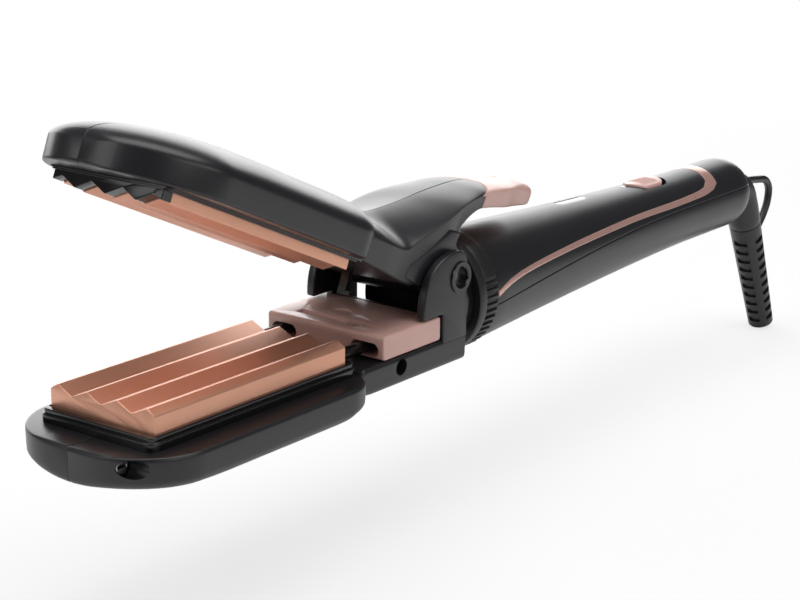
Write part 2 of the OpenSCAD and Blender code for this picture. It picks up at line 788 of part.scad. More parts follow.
module stripe_band() {
    xz_slab(-25, 25) polygon(concat(smooth(stripe_low, 3), reversed(smooth(stripe_high, 3))));
}

// Pill-shaped and shield-shaped cutters from above
module window_shape() {
    translate([window_x + window_half, 0]) circle(window_half);
    translate([window_x + window_len - window_half, 0]) circle(window_half);
    translate([window_x + window_half, -window_half]) square([window_len - 2 * window_half, 2 * window_half]);
}

module shield_shape(grow, longer) {
    half = switch_half + grow;
    rear = switch_x + switch_len - switch_half;
    translate([rear, 0]) circle(half);
    if (longer > 0) {
        translate([rear + longer, 0]) circle(half);
        translate([rear, -half]) square([longer, 2 * half]);
    }
    polygon([[switch_x - 1.4 * grow, 0], [switch_x + 5, half], [rear, half], [rear, -half],
        [switch_x + 5, -half]]);
}

module handle_top_shell() {
    color(black_plastic) place() difference() {
        intersection() {
            handle_shell();
            above_parting(25);
        }
        difference() {
            stripe_band();
            handle_body(-stripe_depth);
        }
        difference() {
            translate([0, 0, 5]) linear_extrude(15) window_shape();
            handle_body(-stripe_depth);
        }
        translate([0, 0, 5]) linear_extrude(15) shield_shape(0.35, switch_travel);
        translate([led_x, 0, 5]) cylinder(h = 15, r = led_r);
    }
}

// Posts under the circuit board: place, and height of the foot
post_places = [[176, -12.4], [264, -9.7]];

module handle_bottom_shell() {
    color(black_plastic) place() union() {
        difference() {
            handle_shell();
            above_parting(25);
        }
        for (p = post_places)
            translate([p[0], 0, p[1]]) cylinder(h = board_top - board_t - p[1], r = 2.5);
    }
}

module trim_stripe() {
    color(rose_gold) place() difference() {
        intersection() {
            stripe_band();
            handle_body(0);
            above_parting(25);
        }
        handle_body(-stripe_depth);
    }
}

module status_window() {
    color(gloss_black) place() difference() {
        intersection() {
            translate([0, 0, 5]) linear_extrude(15) window_shape();
            handle_body(0);
        }
        handle_body(-stripe_depth);
    }
}

module led_lens() {
    color("white") place() difference() {
        intersection() {
            translate([led_x, 0, 5]) cylinder(h = 15, r = led_r);
            handle_body(0.1);
        }
        handle_body(-wall);
    }
}

module circuit_board() {
    color(board_green) place() box([165, -7.5, board_top - board_t], [270, 7.5, board_top]);
}

module switch_body() {
    color(gloss_black) place() box([227, -4, board_top], [243, 4, 8]);
}

module power_switch() {
    color(rose_plastic) place() union() {
        difference() {
            intersection() {
                translate([0, 0, 5]) linear_extrude(15) shield_shape(0, 0);
                handle_body(0.9);
            }
            handle_body(-wall - 0.6);
        }
        box([233, -2, 8.4], [237, 2, 10.4]);
        for (k = [0 : 5])
            intersection() {
                box([232 + 1.6 * k, -2.6, 9], [232.7 + 1.6 * k, 2.6, 15]);
                handle_body(1.2);
            }
    }
}

// Block in the front of the handle that takes the head's plug
module socket_block() {
    color(gloss_black) place() along_x(handle_front + wall) difference() {
        cylinder(h = 12.5, r = 12.6);
        translate([0, 0, -1]) cylinder(h = 11.5, r = plug_r + running_gap);
    }
}

// ---- Cord exit ----

shaft_r = 5.2;
shaft_flange = 3.4;
bush_x = dome_x - 6;

module swivel_bush() {
    color(gloss_black) place() along_x(bush_x) difference() {
        cylinder(h = 5, r = handle_r_rear - wall);
        translate([0, 0, -1]) cylinder(h = 8, r = shaft_r + running_gap);
    }
}

// The elbow's tube of radius r: a short lead-in, the bend, and a straight run after it
bend_steps = 9;
module elbow_tube(r, lead_in, run) {
    tube(concat([[bend_x - lead_in, 0, axis_z]],
        [for (k = [0 : bend_steps]) let(a = turn * k / bend_steps)
            [bend_x + elbow_bend * sin(a), 0, axis_z - elbow_bend * (1 - cos(a))]],
        [bend_end + run * relief_dir]), r, 28);
}

module swivel_elbow() {
    shaft_end = bend_x - 1;
    bend_bore_r = cord_bore_r - 0.2;
    color(black_plastic) place() difference() {
        union() {
            elbow_tube(elbow_r, 1.6, plain_len);
            along_x(bush_x - 0.4) cylinder(h = shaft_end - bush_x + 0.4, r = shaft_r);
            along_x(bush_x - 0.4 - shaft_flange) cylinder(h = shaft_flange, r = 8);
        }
        elbow_tube(bend_bore_r, 2.6, 1.2);
        translate(bend_end + 0.4 * relief_dir) rotate([0, 180 - relief_lean, 0])
            cylinder(h = plain_len, r = cord_bore_r);
        along_x(bush_x - 5) cylinder(h = shaft_end - bush_x + 4, r = cord_bore_r);
    }
}

relief_start_r = elbow_r;
function relief_r(s) = relief_start_r + (relief_end_r - relief_start_r) * s / relief_len;

// Tapered boot with rows of slots, and webs between the slots
module strain_relief() {
    slot_w = 1.8;
    slot_depth = 0.8;
    first = 4.6;
    pitch = 3.65;
    web = 1.5;
    color(black_plastic) place() difference() {
        along_relief() cylinder(h = relief_len, r1 = relief_start_r, r2 = relief_end_r);
        along_relief() for (k = [0 : slot_rows - 1])
            translate([0, 0, first + pitch * k]) difference() {
                cylinder(h = slot_w, r = relief_start_r + 1);
                translate([0, 0, -1]) cylinder(h = slot_w + 2, r = relief_r(first + pitch * k) - slot_depth);
                for (turned = [45, 135]) rotate([0, 0, turned])
                    translate([-10, -web, -1]) cube([20, 2 * web, slot_w + 2]);
            }
        along_relief(-1) cylinder(h = relief_len + 2, r = cord_bore_r);
    }
}

loop_route = [[300, 0, 0.4], [305, 0, 0.6], [312, 0, -0.2], [318.4, 0, -1.4], [321.6, 0, -4.6],
    [321.4, 0, -9], [319.2, 0, -13], [315.4, 0, -17], [311, 0, -20.6]];

module hang_loop() {
    color(black_plastic) place() difference() {
        tube(smooth(loop_route, 3), loop_wire_r, 10);
        elbow_tube(elbow_r, 1.6, plain_len);
        along_relief() cylinder(h = relief_len, r1 = relief_start_r, r2 = relief_end_r);
    }
}

lower_jaw_left_shell();
lower_jaw_right_shell();
lower_plate_frame();
lower_wave_plate();
lower_heater();
plate_rods();
jaw_screws();
hinge_pin();
hinge_eyelets();
torsion_spring();
head_spigot();
upper_jaw_left_shell();
upper_jaw_right_shell();
upper_plate_frame();
upper_wave_plate();
upper_end_cap();
upper_heater();
latch_hook();
lever_tip();
lock_slider();
locking_ring();
handle_top_shell();
handle_bottom_shell();
trim_stripe();
status_window();
led_lens();
circuit_board();
switch_body();
socket_block();
power_switch();
swivel_bush();
swivel_elbow();
strain_relief();
hang_loop();
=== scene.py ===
"""Hair waver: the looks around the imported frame.

Shapes are written in millimetres in the working frame of the part's source: the jaws point
along -X, the handle along +X, the handle's axis is at z = AXIS_Z. row() carries them to the
row frame in metres. The upper jaw is written shut and opened() swings it to its rest pose.
"""
import math

import bmesh
import bpy
import numpy as np
from mathutils import Matrix


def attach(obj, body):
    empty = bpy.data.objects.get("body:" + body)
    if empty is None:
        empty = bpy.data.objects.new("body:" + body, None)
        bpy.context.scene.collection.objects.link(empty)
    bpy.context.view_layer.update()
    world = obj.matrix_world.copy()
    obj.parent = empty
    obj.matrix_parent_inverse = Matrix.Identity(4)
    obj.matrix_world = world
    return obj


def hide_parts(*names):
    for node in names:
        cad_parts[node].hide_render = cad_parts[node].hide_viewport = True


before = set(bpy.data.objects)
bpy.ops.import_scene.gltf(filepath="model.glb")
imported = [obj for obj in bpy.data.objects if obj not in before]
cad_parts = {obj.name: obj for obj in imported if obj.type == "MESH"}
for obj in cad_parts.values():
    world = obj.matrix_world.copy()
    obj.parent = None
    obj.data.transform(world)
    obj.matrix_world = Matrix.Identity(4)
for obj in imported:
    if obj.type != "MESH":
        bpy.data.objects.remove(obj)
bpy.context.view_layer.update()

# ---- The working frame ----

MID_X, LOW_Z = 157.39925, -54.71459
AXIS_Z = 0.3
HINGE_X, HINGE_Z = 110.8, 11.0
OPEN = math.radians(24.2)


def row(p):
    """Working millimetres to row metres: (p - (MID_X, 0, LOW_Z)) / 1000."""
    return (np.asarray(p, float) - [MID_X, 0.0, LOW_Z]) / 1000.0


def opened(p):
    """Turns p by OPEN about +Y through the hinge: x' = x cos + z sin, z' = z cos - x sin."""
    p = np.array(p, float)
    x, z = p[..., 0] - HINGE_X, p[..., 2] - HINGE_Z
    c, s = math.cos(OPEN), math.sin(OPEN)
    p[..., 0] = HINGE_X + x * c + z * s
    p[..., 2] = HINGE_Z + z * c - x * s
    return p


# ---- Mesh tools ----


def finish_mesh(name, bm, body, nodes, swing, sharp, mirror, material):
    bmesh.ops.remove_doubles(bm, verts=bm.verts, dist=1e-4)
    if mirror:
        for v in bm.verts:
            v.co.y = -v.co.y
    bmesh.ops.recalc_face_normals(bm, faces=bm.faces)
    for f in bm.faces:
        f.smooth = True
    limit = math.radians(sharp)
    for e in bm.edges:
        if len(e.link_faces) == 2:
            e.smooth = e.calc_face_angle(0.0) < limit
    mesh = bpy.data.meshes.new(name)
    bm.to_mesh(mesh)
    bm.free()
    co = np.zeros(len(mesh.vertices) * 3)
    mesh.vertices.foreach_get("co", co)
    co = co.reshape(-1, 3)
    co = row(opened(co) if swing else co)
    mesh.vertices.foreach_set("co", co.astype(np.float32).ravel())
    mesh.update()
    obj = bpy.data.objects.new(name, mesh)
    bpy.context.scene.collection.objects.link(obj)
    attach(obj, body)
    if nodes:
        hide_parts(*nodes)
    mesh.materials.append(MATERIALS[material])
    return obj


def from_faces(name, verts, faces, body, material, nodes=(), swing=False, sharp=32,
               mirror=False):
    """A piece from points and faces, in working millimetres."""
    bm = bmesh.new()
    vs = [bm.verts.new(v) for v in verts]
    for f in faces:
        bm.faces.new([vs[i] for i in f])
    return finish_mesh(name, bm, body, nodes, swing, sharp, mirror, material)


def grid_faces(n, m, closed_across, closed_along=False):
    faces = []
    for i in range(n if closed_along else n - 1):
        for j in range(m if closed_across else m - 1):
            a, b = i * m + j, i * m + (j + 1) % m
            k = (i + 1) % n
            faces.append((a, b, k * m + (j + 1) % m, k * m + j))
    return faces


def loft(name, rings, body, material, nodes=(), swing=False, sharp=32, mirror=False,
         closed_along=False):
    """A closed skin through rings of equal length, with flat ends."""
    rings = np.asarray(rings, float)
    n, m = rings.shape[:2]
    faces = grid_faces(n, m, True, closed_along)
    if not closed_along:
        faces += [tuple(range(m))[::-1], tuple(range((n - 1) * m, n * m))]
    return from_faces(name, rings.reshape(-1, 3), faces, body, material, nodes, swing,
                      sharp, mirror)


def rounded(points, radii, steps=4, closed=False):
    """A polyline with each corner replaced by a curve that starts radii[i] before it.

    Each corner p between a and b becomes q(t) = (1-t)^2 s + 2 t (1-t) p + t^2 e, where s and e
    are r back along both sides.
    """
    points = np.asarray(points, float)
    out = []
    n = len(points)
    for i in range(n):
        p, r = points[i], radii[i]
        if r <= 0 or (not closed and i in (0, n - 1)):
            out.append(p)
            continue
        a, b = points[i - 1], points[(i + 1) % n]
        da, db = a - p, b - p
        la, lb = np.linalg.norm(da), np.linalg.norm(db)
        s = p + da / la * min(r, la * 0.49)
        e = p + db / lb * min(r, lb * 0.49)
        for k in range(steps + 1):
            t = k / steps
            out.append((1 - t) ** 2 * s + 2 * t * (1 - t) * p + t * t * e)
    return np.array(out)


def lookup(x, table):
    """Monotone cubic through a table of (x, value)."""
    t = np.asarray(table, float)
    xs, ys = t[:, 0], t[:, 1]
    if x <= xs[0]:
        return ys[0]
    if x >= xs[-1]:
        return ys[-1]
    d = np.diff(ys) / np.diff(xs)
    m = np.zeros(len(xs))
    m[0], m[-1] = d[0], d[-1]
    for i in range(1, len(xs) - 1):
        m[i] = 0 if d[i - 1] * d[i] <= 0 else 2 * d[i - 1] * d[i] / (d[i - 1] + d[i])
    i = int(np.searchsorted(xs, x) - 1)
    h = xs[i + 1] - xs[i]
    s = (x - xs[i]) / h
    return (ys[i] * (1 + 2 * s) * (1 - s) ** 2 + m[i] * h * s * (1 - s) ** 2
            + ys[i + 1] * s * s * (3 - 2 * s) + m[i + 1] * h * s * s * (s - 1))


def outline_plate(name, outlines, low, high, bevel, to, body, material, nodes=(), swing=False,
                  sharp=32, steps=3):
    """A flat plate with holes and rounded edges, from closed outlines in its own plane.

    to(u, v, w) places a point of the plane at height w. The bevel is kept inside the outline.
    """
    curve = bpy.data.curves.new(name, "CURVE")
    curve.dimensions = "2D"
    curve.fill_mode = "BOTH"
    curve.extrude = (high - low) / 2 - bevel
    curve.bevel_depth = bevel
    curve.bevel_resolution = steps
    curve.offset = -bevel
    for outline in outlines:
        spline = curve.splines.new("POLY")
        spline.points.add(len(outline) - 1)
        spline.points.foreach_set("co", np.array([(u, v, 0, 1) for u, v in outline]).ravel())
        spline.use_cyclic_u = True
    obj = bpy.data.objects.new(name + "_curve", curve)
    bpy.context.scene.collection.objects.link(obj)
    mesh = bpy.data.meshes.new_from_object(obj.evaluated_get(
        bpy.context.evaluated_depsgraph_get()))
    bpy.data.objects.remove(obj)
    bpy.data.curves.remove(curve)
    bm = bmesh.new()
    bm.from_mesh(mesh)
    bpy.data.meshes.remove(mesh)
    middle = (low + high) / 2
    for v in bm.verts:
        v.co = to(v.co.x, v.co.y, v.co.z + middle)
    return finish_mesh(name, bm, body, nodes, swing, sharp, False, material)


def cut(obj, cutters, bevel=0.0, sharp=32):
    """Takes the cutter objects out of obj, rounds the new edges and removes the cutters."""
    for c in cutters:
        m = obj.modifiers.new("cut", "BOOLEAN")
        m.operation = "DIFFERENCE"
        m.solver = "EXACT"
        m.object = c
    if bevel > 0:
        m = obj.modifiers.new("round", "BEVEL")
        m.width = bevel / 1000
        m.segments = 2
        m.limit_method = "ANGLE"
        m.angle_limit = math.radians(40)
    mesh = bpy.data.meshes.new_from_object(obj.evaluated_get(
        bpy.context.evaluated_depsgraph_get()))
    obj.modifiers.clear()
    old = obj.data
    obj.data = mesh
    mesh.name = old.name
    bm = bmesh.new()
    bm.from_mesh(mesh)
    limit = math.radians(sharp)
    for f in bm.faces:
        f.smooth = True
    for e in bm.edges:
        if len(e.link_faces) == 2:
            e.smooth = e.calc_face_angle(0.0) < limit
    bm.to_mesh(mesh)
    bm.free()
    for c in cutters:
        bpy.data.objects.remove(c)
    return obj


def cutter(verts, faces, swing=False):
    """A solid in working millimetres that cut() takes away and then removes."""
    bm = bmesh.new()
    verts = np.asarray(verts, float)
    verts = row(opened(verts) if swing else verts)
    vs = [bm.verts.new(v) for v in verts]
    for f in faces:
        bm.faces.new([vs[i] for i in f])
    bmesh.ops.recalc_face_normals(bm, faces=bm.faces)
    mesh = bpy.data.meshes.new("cutter")
    bm.to_mesh(mesh)
    bm.free()
    obj = bpy.data.objects.new("cutter", mesh)
    bpy.context.scene.collection.objects.link(obj)
    return obj


def prism_cutter(outline, axis, low, high, swing=False):
    """A cutter with a flat outline, carried along axis "x", "y" or "z"."""
    n = len(outline)
    order = {"x": (2, 0, 1), "y": (0, 2, 1), "z": (0, 1, 2)}[axis]
    verts = []
    for w in (low, high):
        for u, v in outline:
            verts.append(np.array((u, v, w))[list(order)])
    faces = [(i, (i + 1) % n, n + (i + 1) % n, n + i) for i in range(n)]
    faces += [tuple(range(n))[::-1], tuple(range(n, 2 * n))]
    return cutter(verts, faces, swing)


def circle(cu, cv, r, n=48, start=0.0):
    a = start + np.arange(n) * 2 * math.pi / n
    return np.stack([cu + r * np.cos(a), cv + r * np.sin(a)], 1)


def rect(u0, v0, u1, v1, r=0.0, steps=5):
    p = [(u0, v0), (u1, v0), (u1, v1), (u0, v1)]
    return rounded(p, [r] * 4, steps, closed=True) if r > 0 else np.array(p, float)


def revolve(name, profile, centre, axis, body, material, nodes=(), swing=False, sides=96,
            sharp=32):
    """A solid of revolution: profile is (distance along axis, radius), closed on itself."""
    profile = np.asarray(profile, float)
    a = 2 * math.pi * np.arange(sides) / sides
    axis = np.asarray(axis, float) / np.linalg.norm(axis)
    helper = np.array([0, 0, 1.0]) if abs(axis[2]) < 0.9 else np.array([1.0, 0, 0])
    u = np.cross(helper, axis)
    u /= np.linalg.norm(u)
    v = np.cross(axis, u)
    rings = (np.asarray(centre, float) + profile[None, :, :1] * axis
             + profile[None, :, 1:2] * (np.cos(a)[:, None, None] * u
                                        + np.sin(a)[:, None, None] * v))
    return loft(name, rings, body, material, nodes, swing, sharp, closed_along=True)


# ---- Materials ----

MATERIALS = {}


def node_group(name, inputs, outputs):
    group = bpy.data.node_groups.new(name, "ShaderNodeTree")
    for label, kind, default in inputs:
        s = group.interface.new_socket(label, in_out="INPUT", socket_type=kind)
        if default is not None:
            s.default_value = default
    for label, kind in outputs:
        group.interface.new_socket(label, in_out="OUTPUT", socket_type=kind)
    return group, group.nodes.new("NodeGroupInput"), group.nodes.new("NodeGroupOutput")


def moulded_group():
    """Moulded plastic: height = fine grain, roughness = base + smudge * (broad noise - 0.5)."""
    g, gi, go = node_group("moulded", [
        ("Roughness", "NodeSocketFloat", 0.3), ("Smudge", "NodeSocketFloat", 0.1),
        ("Grain Scale", "NodeSocketFloat", 2500.0), ("Grain", "NodeSocketFloat", 0.1)],
        [("Roughness", "NodeSocketFloat"), ("Height", "NodeSocketFloat")])
    n, l = g.nodes, g.links
    co = n.new("ShaderNodeTexCoord")
    broad = n.new("ShaderNodeTexNoise")
    broad.inputs["Scale"].default_value = 55.0
    broad.inputs["Detail"].default_value = 4.0
    l.new(co.outputs["Object"], broad.inputs["Vector"])
    fine = n.new("ShaderNodeTexNoise")
    fine.inputs["Detail"].default_value = 2.0
    l.new(co.outputs["Object"], fine.inputs["Vector"])
    l.new(gi.outputs["Grain Scale"], fine.inputs["Scale"])
    centred = n.new("ShaderNodeMath")
    centred.operation = "SUBTRACT"
    l.new(broad.outputs["Fac"], centred.inputs[0])
    centred.inputs[1].default_value = 0.5
    spread = n.new("ShaderNodeMath")
    spread.operation = "MULTIPLY_ADD"
    l.new(centred.outputs[0], spread.inputs[0])
    l.new(gi.outputs["Smudge"], spread.inputs[1])
    l.new(gi.outputs["Roughness"], spread.inputs[2])
    l.new(spread.outputs[0], go.inputs["Roughness"])
    height = n.new("ShaderNodeMath")
    height.operation = "MULTIPLY"
    l.new(fine.outputs["Fac"], height.inputs[0])
    l.new(gi.outputs["Grain"], height.inputs[1])
    l.new(height.outputs[0], go.inputs["Height"])
    return g


def tint_group():
    """Colour variation: colour = mix(Color, Second, fac * Amount), fac a soft noise."""
    g, gi, go = node_group("tint", [
        ("Color", "NodeSocketColor", (0.5, 0.5, 0.5, 1)),
        ("Second", "NodeSocketColor", (0.4, 0.4, 0.4, 1)),
        ("Amount", "NodeSocketFloat", 0.5), ("Scale", "NodeSocketFloat", 40.0)],
        [("Color", "NodeSocketColor")])
    n, l = g.nodes, g.links
    co = n.new("ShaderNodeTexCoord")
    noise = n.new("ShaderNodeTexNoise")
    noise.inputs["Detail"].default_value = 3.0
    l.new(co.outputs["Object"], noise.inputs["Vector"])
    l.new(gi.outputs["Scale"], noise.inputs["Scale"])
    amount = n.new("ShaderNodeMath")
    amount.operation = "MULTIPLY"
    l.new(noise.outputs["Fac"], amount.inputs[0])
    l.new(gi.outputs["Amount"], amount.inputs[1])
    mix = n.new("ShaderNodeMix")
    mix.data_type = "RGBA"
    l.new(amount.outputs[0], mix.inputs["Factor"])
    l.new(gi.outputs["Color"], mix.inputs["A"])
    l.new(gi.outputs["Second"], mix.inputs["B"])
    l.new(mix.outputs["Result"], go.inputs["Color"])
    return g


MOULDED = moulded_group()
TINT = tint_group()


def material(name, slot, color, second, rough, smudge=0.08, grain=0.1, grain_scale=2500.0,
             metallic=0.0, coat=0.0, tint_scale=40.0, tint=0.5, bump=0.4):
    m = bpy.data.materials.new(name)
    m.use_nodes = True
    n, l = m.node_tree.nodes, m.node_tree.links
    bsdf = n["Principled BSDF"]
    t = n.new("ShaderNodeGroup")
    t.node_tree = TINT
    t.inputs["Color"].default_value = (*color, 1)
    t.inputs["Second"].default_value = (*second, 1)
    t.inputs["Amount"].default_value = tint
    t.inputs["Scale"].default_value = tint_scale
    l.new(t.outputs["Color"], bsdf.inputs["Base Color"])
    g = n.new("ShaderNodeGroup")
    g.node_tree = MOULDED
    g.inputs["Roughness"].default_value = rough
    g.inputs["Smudge"].default_value = smudge
    g.inputs["Grain Scale"].default_value = grain_scale
    g.inputs["Grain"].default_value = grain
    l.new(g.outputs["Roughness"], bsdf.inputs["Roughness"])
    b = n.new("ShaderNodeBump")
    b.inputs["Strength"].default_value = bump
    b.inputs["Distance"].default_value = 0.0001
    l.new(g.outputs["Height"], b.inputs["Height"])
    l.new(b.outputs["Normal"], bsdf.inputs["Normal"])
    bsdf.inputs["Metallic"].default_value = metallic
    bsdf.inputs["Coat Weight"].default_value = coat
    bsdf.inputs["Coat Roughness"].default_value = 0.15
    MATERIALS[name] = m
    return m


material("black_plastic", "black_plastic", (0.010, 0.010, 0.012), (0.016, 0.016, 0.018), 0.34,
         smudge=0.08, grain=0.5)
material("ring_plastic", "black_plastic", (0.009, 0.009, 0.010), (0.015, 0.015, 0.016), 0.40,
         smudge=0.08, grain=0.6)
material("gloss_black", "gloss_black", (0.006, 0.006, 0.007), (0.010, 0.010, 0.011), 0.16,
         smudge=0.06, grain=0.1)
material("rose_plastic", "rose_plastic", (0.62, 0.38, 0.33), (0.56, 0.34, 0.295), 0.32,
         smudge=0.1, grain=0.3)
material("copper", "copper", (0.78, 0.40, 0.27), (0.70, 0.34, 0.22), 0.34, smudge=0.1,
         grain=0.5, metallic=0.6, tint_scale=25.0)
material("rose_gold", "rose_gold", (0.66, 0.40, 0.34), (0.58, 0.34, 0.29), 0.28, smudge=0.1,
         grain=0.2, metallic=0.5)
material("steel", "steel", (0.42, 0.42, 0.43), (0.30, 0.30, 0.31), 0.35, metallic=1.0)
material("board", "board", (0.05, 0.16, 0.08), (0.04, 0.12, 0.06), 0.5)
material("ceramic", "ceramic", (0.72, 0.69, 0.62), (0.66, 0.63, 0.56), 0.6)
material("lens", "lens", (0.75, 0.75, 0.75), (0.65, 0.65, 0.66), 0.2)

for slot_name, node_names in {
        "gloss_black": ["lower_plate_frame", "hinge_eyelets", "head_spigot", "upper_plate_frame",
                        "upper_end_cap", "latch_hook", "status_window", "switch_body",
                        "socket_block", "swivel_bush", "plate_rods"],
        "black_plastic": ["lower_jaw_left_shell", "lower_jaw_right_shell",
                          "upper_jaw_left_shell", "upper_jaw_right_shell", "locking_ring",
                          "handle_top_shell", "handle_bottom_shell", "swivel_elbow",
                          "strain_relief", "hang_loop"],
        "copper": ["lower_wave_plate", "upper_wave_plate"],
        "rose_plastic": ["lever_tip", "lock_slider", "power_switch"],
        "rose_gold": ["trim_stripe"], "board": ["circuit_board"],
        "steel": ["jaw_screws", "hinge_pin", "torsion_spring"],
        "ceramic": ["lower_heater", "upper_heater"], "lens": ["led_lens"]}.items():
    for node_name in node_names:
        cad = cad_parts[node_name]
        cad.data.materials.clear()
        cad.data.materials.append(MATERIALS[slot_name])

# ---- Lower jaw ----

NOSE = -10.9
HALF = 25.2
NECK = 19.6
RIM = -5.6
DECK = -4.6
SEAM = 0.04
# each nose in plan: half width of its flat front, its length and its fullness
LOWER_BOW = (7.0, 18.0, 1.9)
UPPER_BOW = (5.0, 22.0, 1.7)


def jaw_half(x, nose, bow, half, corner, corner_len, neck):
    """Half width: a nose f + (half - f)(1 - u^p)^(1/p), a straight side, an elliptic corner."""
    flat, run, power = bow
    if x < nose + run:
        u = max(0.0, min(1.0, (nose + run - x) / run))
        return flat + (half - flat) * max(0.0, 1 - u ** power) ** (1 / power)
    if x < corner:
        return half
    if x < corner + corner_len:
        return neck + (half - neck) * math.sqrt(max(0.0, 1 - ((x - corner) / corner_len) ** 2))
    return neck


def softened(f, x, reach, n=9):
    """Mean of f over x - reach to x + reach, which rounds its corners."""
    return float(np.mean([f(x + reach * (2 * k / (n - 1) - 1)) for k in range(n)]))


def lower_half_w(x):
    raw = lambda t: jaw_half(t, NOSE, LOWER_BOW, HALF, 60.0, 9.0, NECK)
    return raw(x) if x < 50 else softened(raw, x, 0.9)


def belly(x):
    """Depth of the belly: 3 at the nose, 7 along the jaw, 4 under the neck."""
    if x < 56:
        return 3.0 + 4.0 * math.sin(math.pi / 2 * min(1.0, (x - NOSE) / 30.0))
    return 4.0 + 3.0 * math.cos(math.pi / 2 * min(1.0, (x - 56) / 17.0)) ** 2


def lower_section(x, inset):
    w = lower_half_w(x) - inset
    top = lookup(x, [(70.2, RIM), (70.6, DECK)]) - inset
    foot = lookup(x, [(60, -11.1), (72, -9.0)]) + 0.2 * inset
    deep = max(0.25, belly(x) - inset)
    power = lookup(x, [(62, 1.0), (74, 0.42)])
    pts = [(-SEAM, top), (-w, top), (-w + 0.25, foot)]
    radii = [0.3, 1.3, 1.2]
    for k in range(1, 19):
        a = math.pi / 2 * k / 19
        pts.append((-(w - 0.25) * math.cos(a) ** power, foot - deep * math.sin(a) ** power))
        radii.append(0)
    pts.append((-SEAM, foot - deep))
    radii.append(0.3)
    flat = rounded(pts, radii, 5, closed=True)
    return np.column_stack([np.full(len(flat), x), flat])


def nose_stations(nose, run, end, edge, extra):
    """Stations (x, inset): a rounded front edge, then cosine spacing, then even steps."""
    out = [(nose + edge * (1 - math.cos(t)), edge * (1 - math.sin(t)))
           for t in np.linspace(0, math.pi / 2, 6)]
    first = out[-1][0]
    for t in np.linspace(0, math.pi / 2, 30)[1:]:
        out.append((first + (nose + run - first) * (1 - math.cos(t)), 0.0))
    out += [(x, 0.0) for x in extra]
    return [s for s in out if s[0] <= end]


lower_xs = nose_stations(NOSE, LOWER_BOW[1], 200, 1.0, list(np.arange(8.5, 56, 2.5)) + list(
    np.arange(56, 73, 0.5)) + list(np.arange(73, 113.6, 2.0)) + [113.6])
lower_rings = [lower_section(x, e) for x, e in lower_xs]
lower_rings.append(lower_section(114.0, 0.4))
right_low = loft("lower_jaw_right_skin", lower_rings, "handle", "black_plastic",
                 ["lower_jaw_right_shell"])
loft("lower_jaw_left_skin", lower_rings, "handle", "black_plastic", ["lower_jaw_left_shell"],
     mirror=True)

# Case screws: bores in from the right side, and the round heads at their ends
SCREW_SEAT = -12.0
SCREWS = [(-7.3, -8.2), (86.0, -7.4)]
cut(right_low, [prism_cutter(circle(x, z, 2.2), "y", -40, SCREW_SEAT) for x, z in SCREWS])
for k, (x, z) in enumerate(SCREWS):
    slots = [rect(x - 1.2, z - 0.3, x + 1.2, z + 0.3, 0.1)]
    outline_plate(f"case_screw_{k + 1}", [circle(x, z, 1.9)] + slots, SCREW_SEAT - 1.5,
                  SCREW_SEAT - 0.1, 0.25, lambda u, v, w: (u, w, v), "handle", "steel",
                  ["jaw_screws"] if k == 0 else ())

# ---- Upper jaw, drawn shut ----

UP_NOSE = -14.0
UP_FLOOR = 6.0
UP_WALL = 11.85
UP_NECK_X = 67.0
TIP_X = 124.0
TIP_END = 154.2
LEVER_PLAN = [(UP_NECK_X, 18.6), (80, 18.0), (92, 16.6), (104, 16.3), (108, 15.8), (114, 14.2),
              (120, 12.7), (TIP_X, 12.0), (134, 11.3), (144, 8.9), (149, 8.1)]
UNDER = [(70.4, UP_FLOOR), (76, 5.6), (94, 4.6), (98, 6), (102, 11), (106, 16.5), (110, 21),
         (114, 24.8), (118, 28), (TIP_X, 31.4), (140, 35.6), (152, 38.9), (TIP_END, 39.6)]
STRIP = [(62, UP_WALL), (86, 12.4), (89, 12.9), (93, 16), (100.5, 21.8), (107, 26.6), (113, 30.4),
         (121, 34.2), (TIP_X, 35.6), (144, 41.0), (TIP_END, 42.2)]
RIDGE = [(60, 20.55), (73, 20.1), (84, 19.3), (90.5, 21.0), (95.6, 23.2), (103.3, 27.1),
         (111.1, 31.4), (118, 34.9), (TIP_X, 37.7), (132, 40.5), (140, 42.8), (148, 45.2),
         (151, 45.4), (TIP_END, 44.9)]
POWER = [(66, 2.0), (76, 1.7), (88, 1.25), (104, 1.25), (114, 1.7), (TIP_X, 2.0), (140, 2.4)]


def upper_half_w(x):
    if x >= UP_NECK_X + 3:
        return lookup(x, LEVER_PLAN)
    raw = lambda t: (jaw_half(t, UP_NOSE, UPPER_BOW, HALF, 60.0, 7.0, 18.6) if t < UP_NECK_X
                     else lookup(t, LEVER_PLAN))
    return raw(x) if x < 50 else softened(raw, x, 0.9)


def ridge(x):
    """Crown height: 11.85 + 8.7 (1 - (1 - u)^2.2)^(1/2.2), u = (x - nose) / 44, then a table."""
    if x < 56:
        u = max(0.0, min(1.0, (x - UP_NOSE) / 44.0))
        return UP_WALL + 8.7 * max(0.0, 1 - (1 - u) ** 2.2) ** (1 / 2.2)
    return lookup(x, RIDGE)


def upper_section(x, inset, edge_r=0.9):
    """Right half of the jaw's or lever's section, drawn in by inset at an end."""
    w = upper_half_w(x) - inset
    z0 = lookup(x, UNDER) + inset
    z1 = lookup(x, STRIP) - 0.2 * inset
    rise = max(0.25, ridge(x) - z1 - inset)
    power = lookup(x, POWER)
    pts = [(-SEAM, z0), (-w + 0.3, z0), (-w, z1)]
    radii = [0.3, edge_r, 0.9]
    for k in range(1, 19):
        a = math.pi / 2 * k / 19
        pts.append((-w * math.cos(a) ** (2 / power), z1 + rise * math.sin(a) ** (2 / power)))
        radii.append(0)
    pts.append((-SEAM, z1 + rise))
    radii.append(0.3)
    flat = rounded(pts, radii, 5, closed=True)
    return np.column_stack([np.full(len(flat), x), flat])


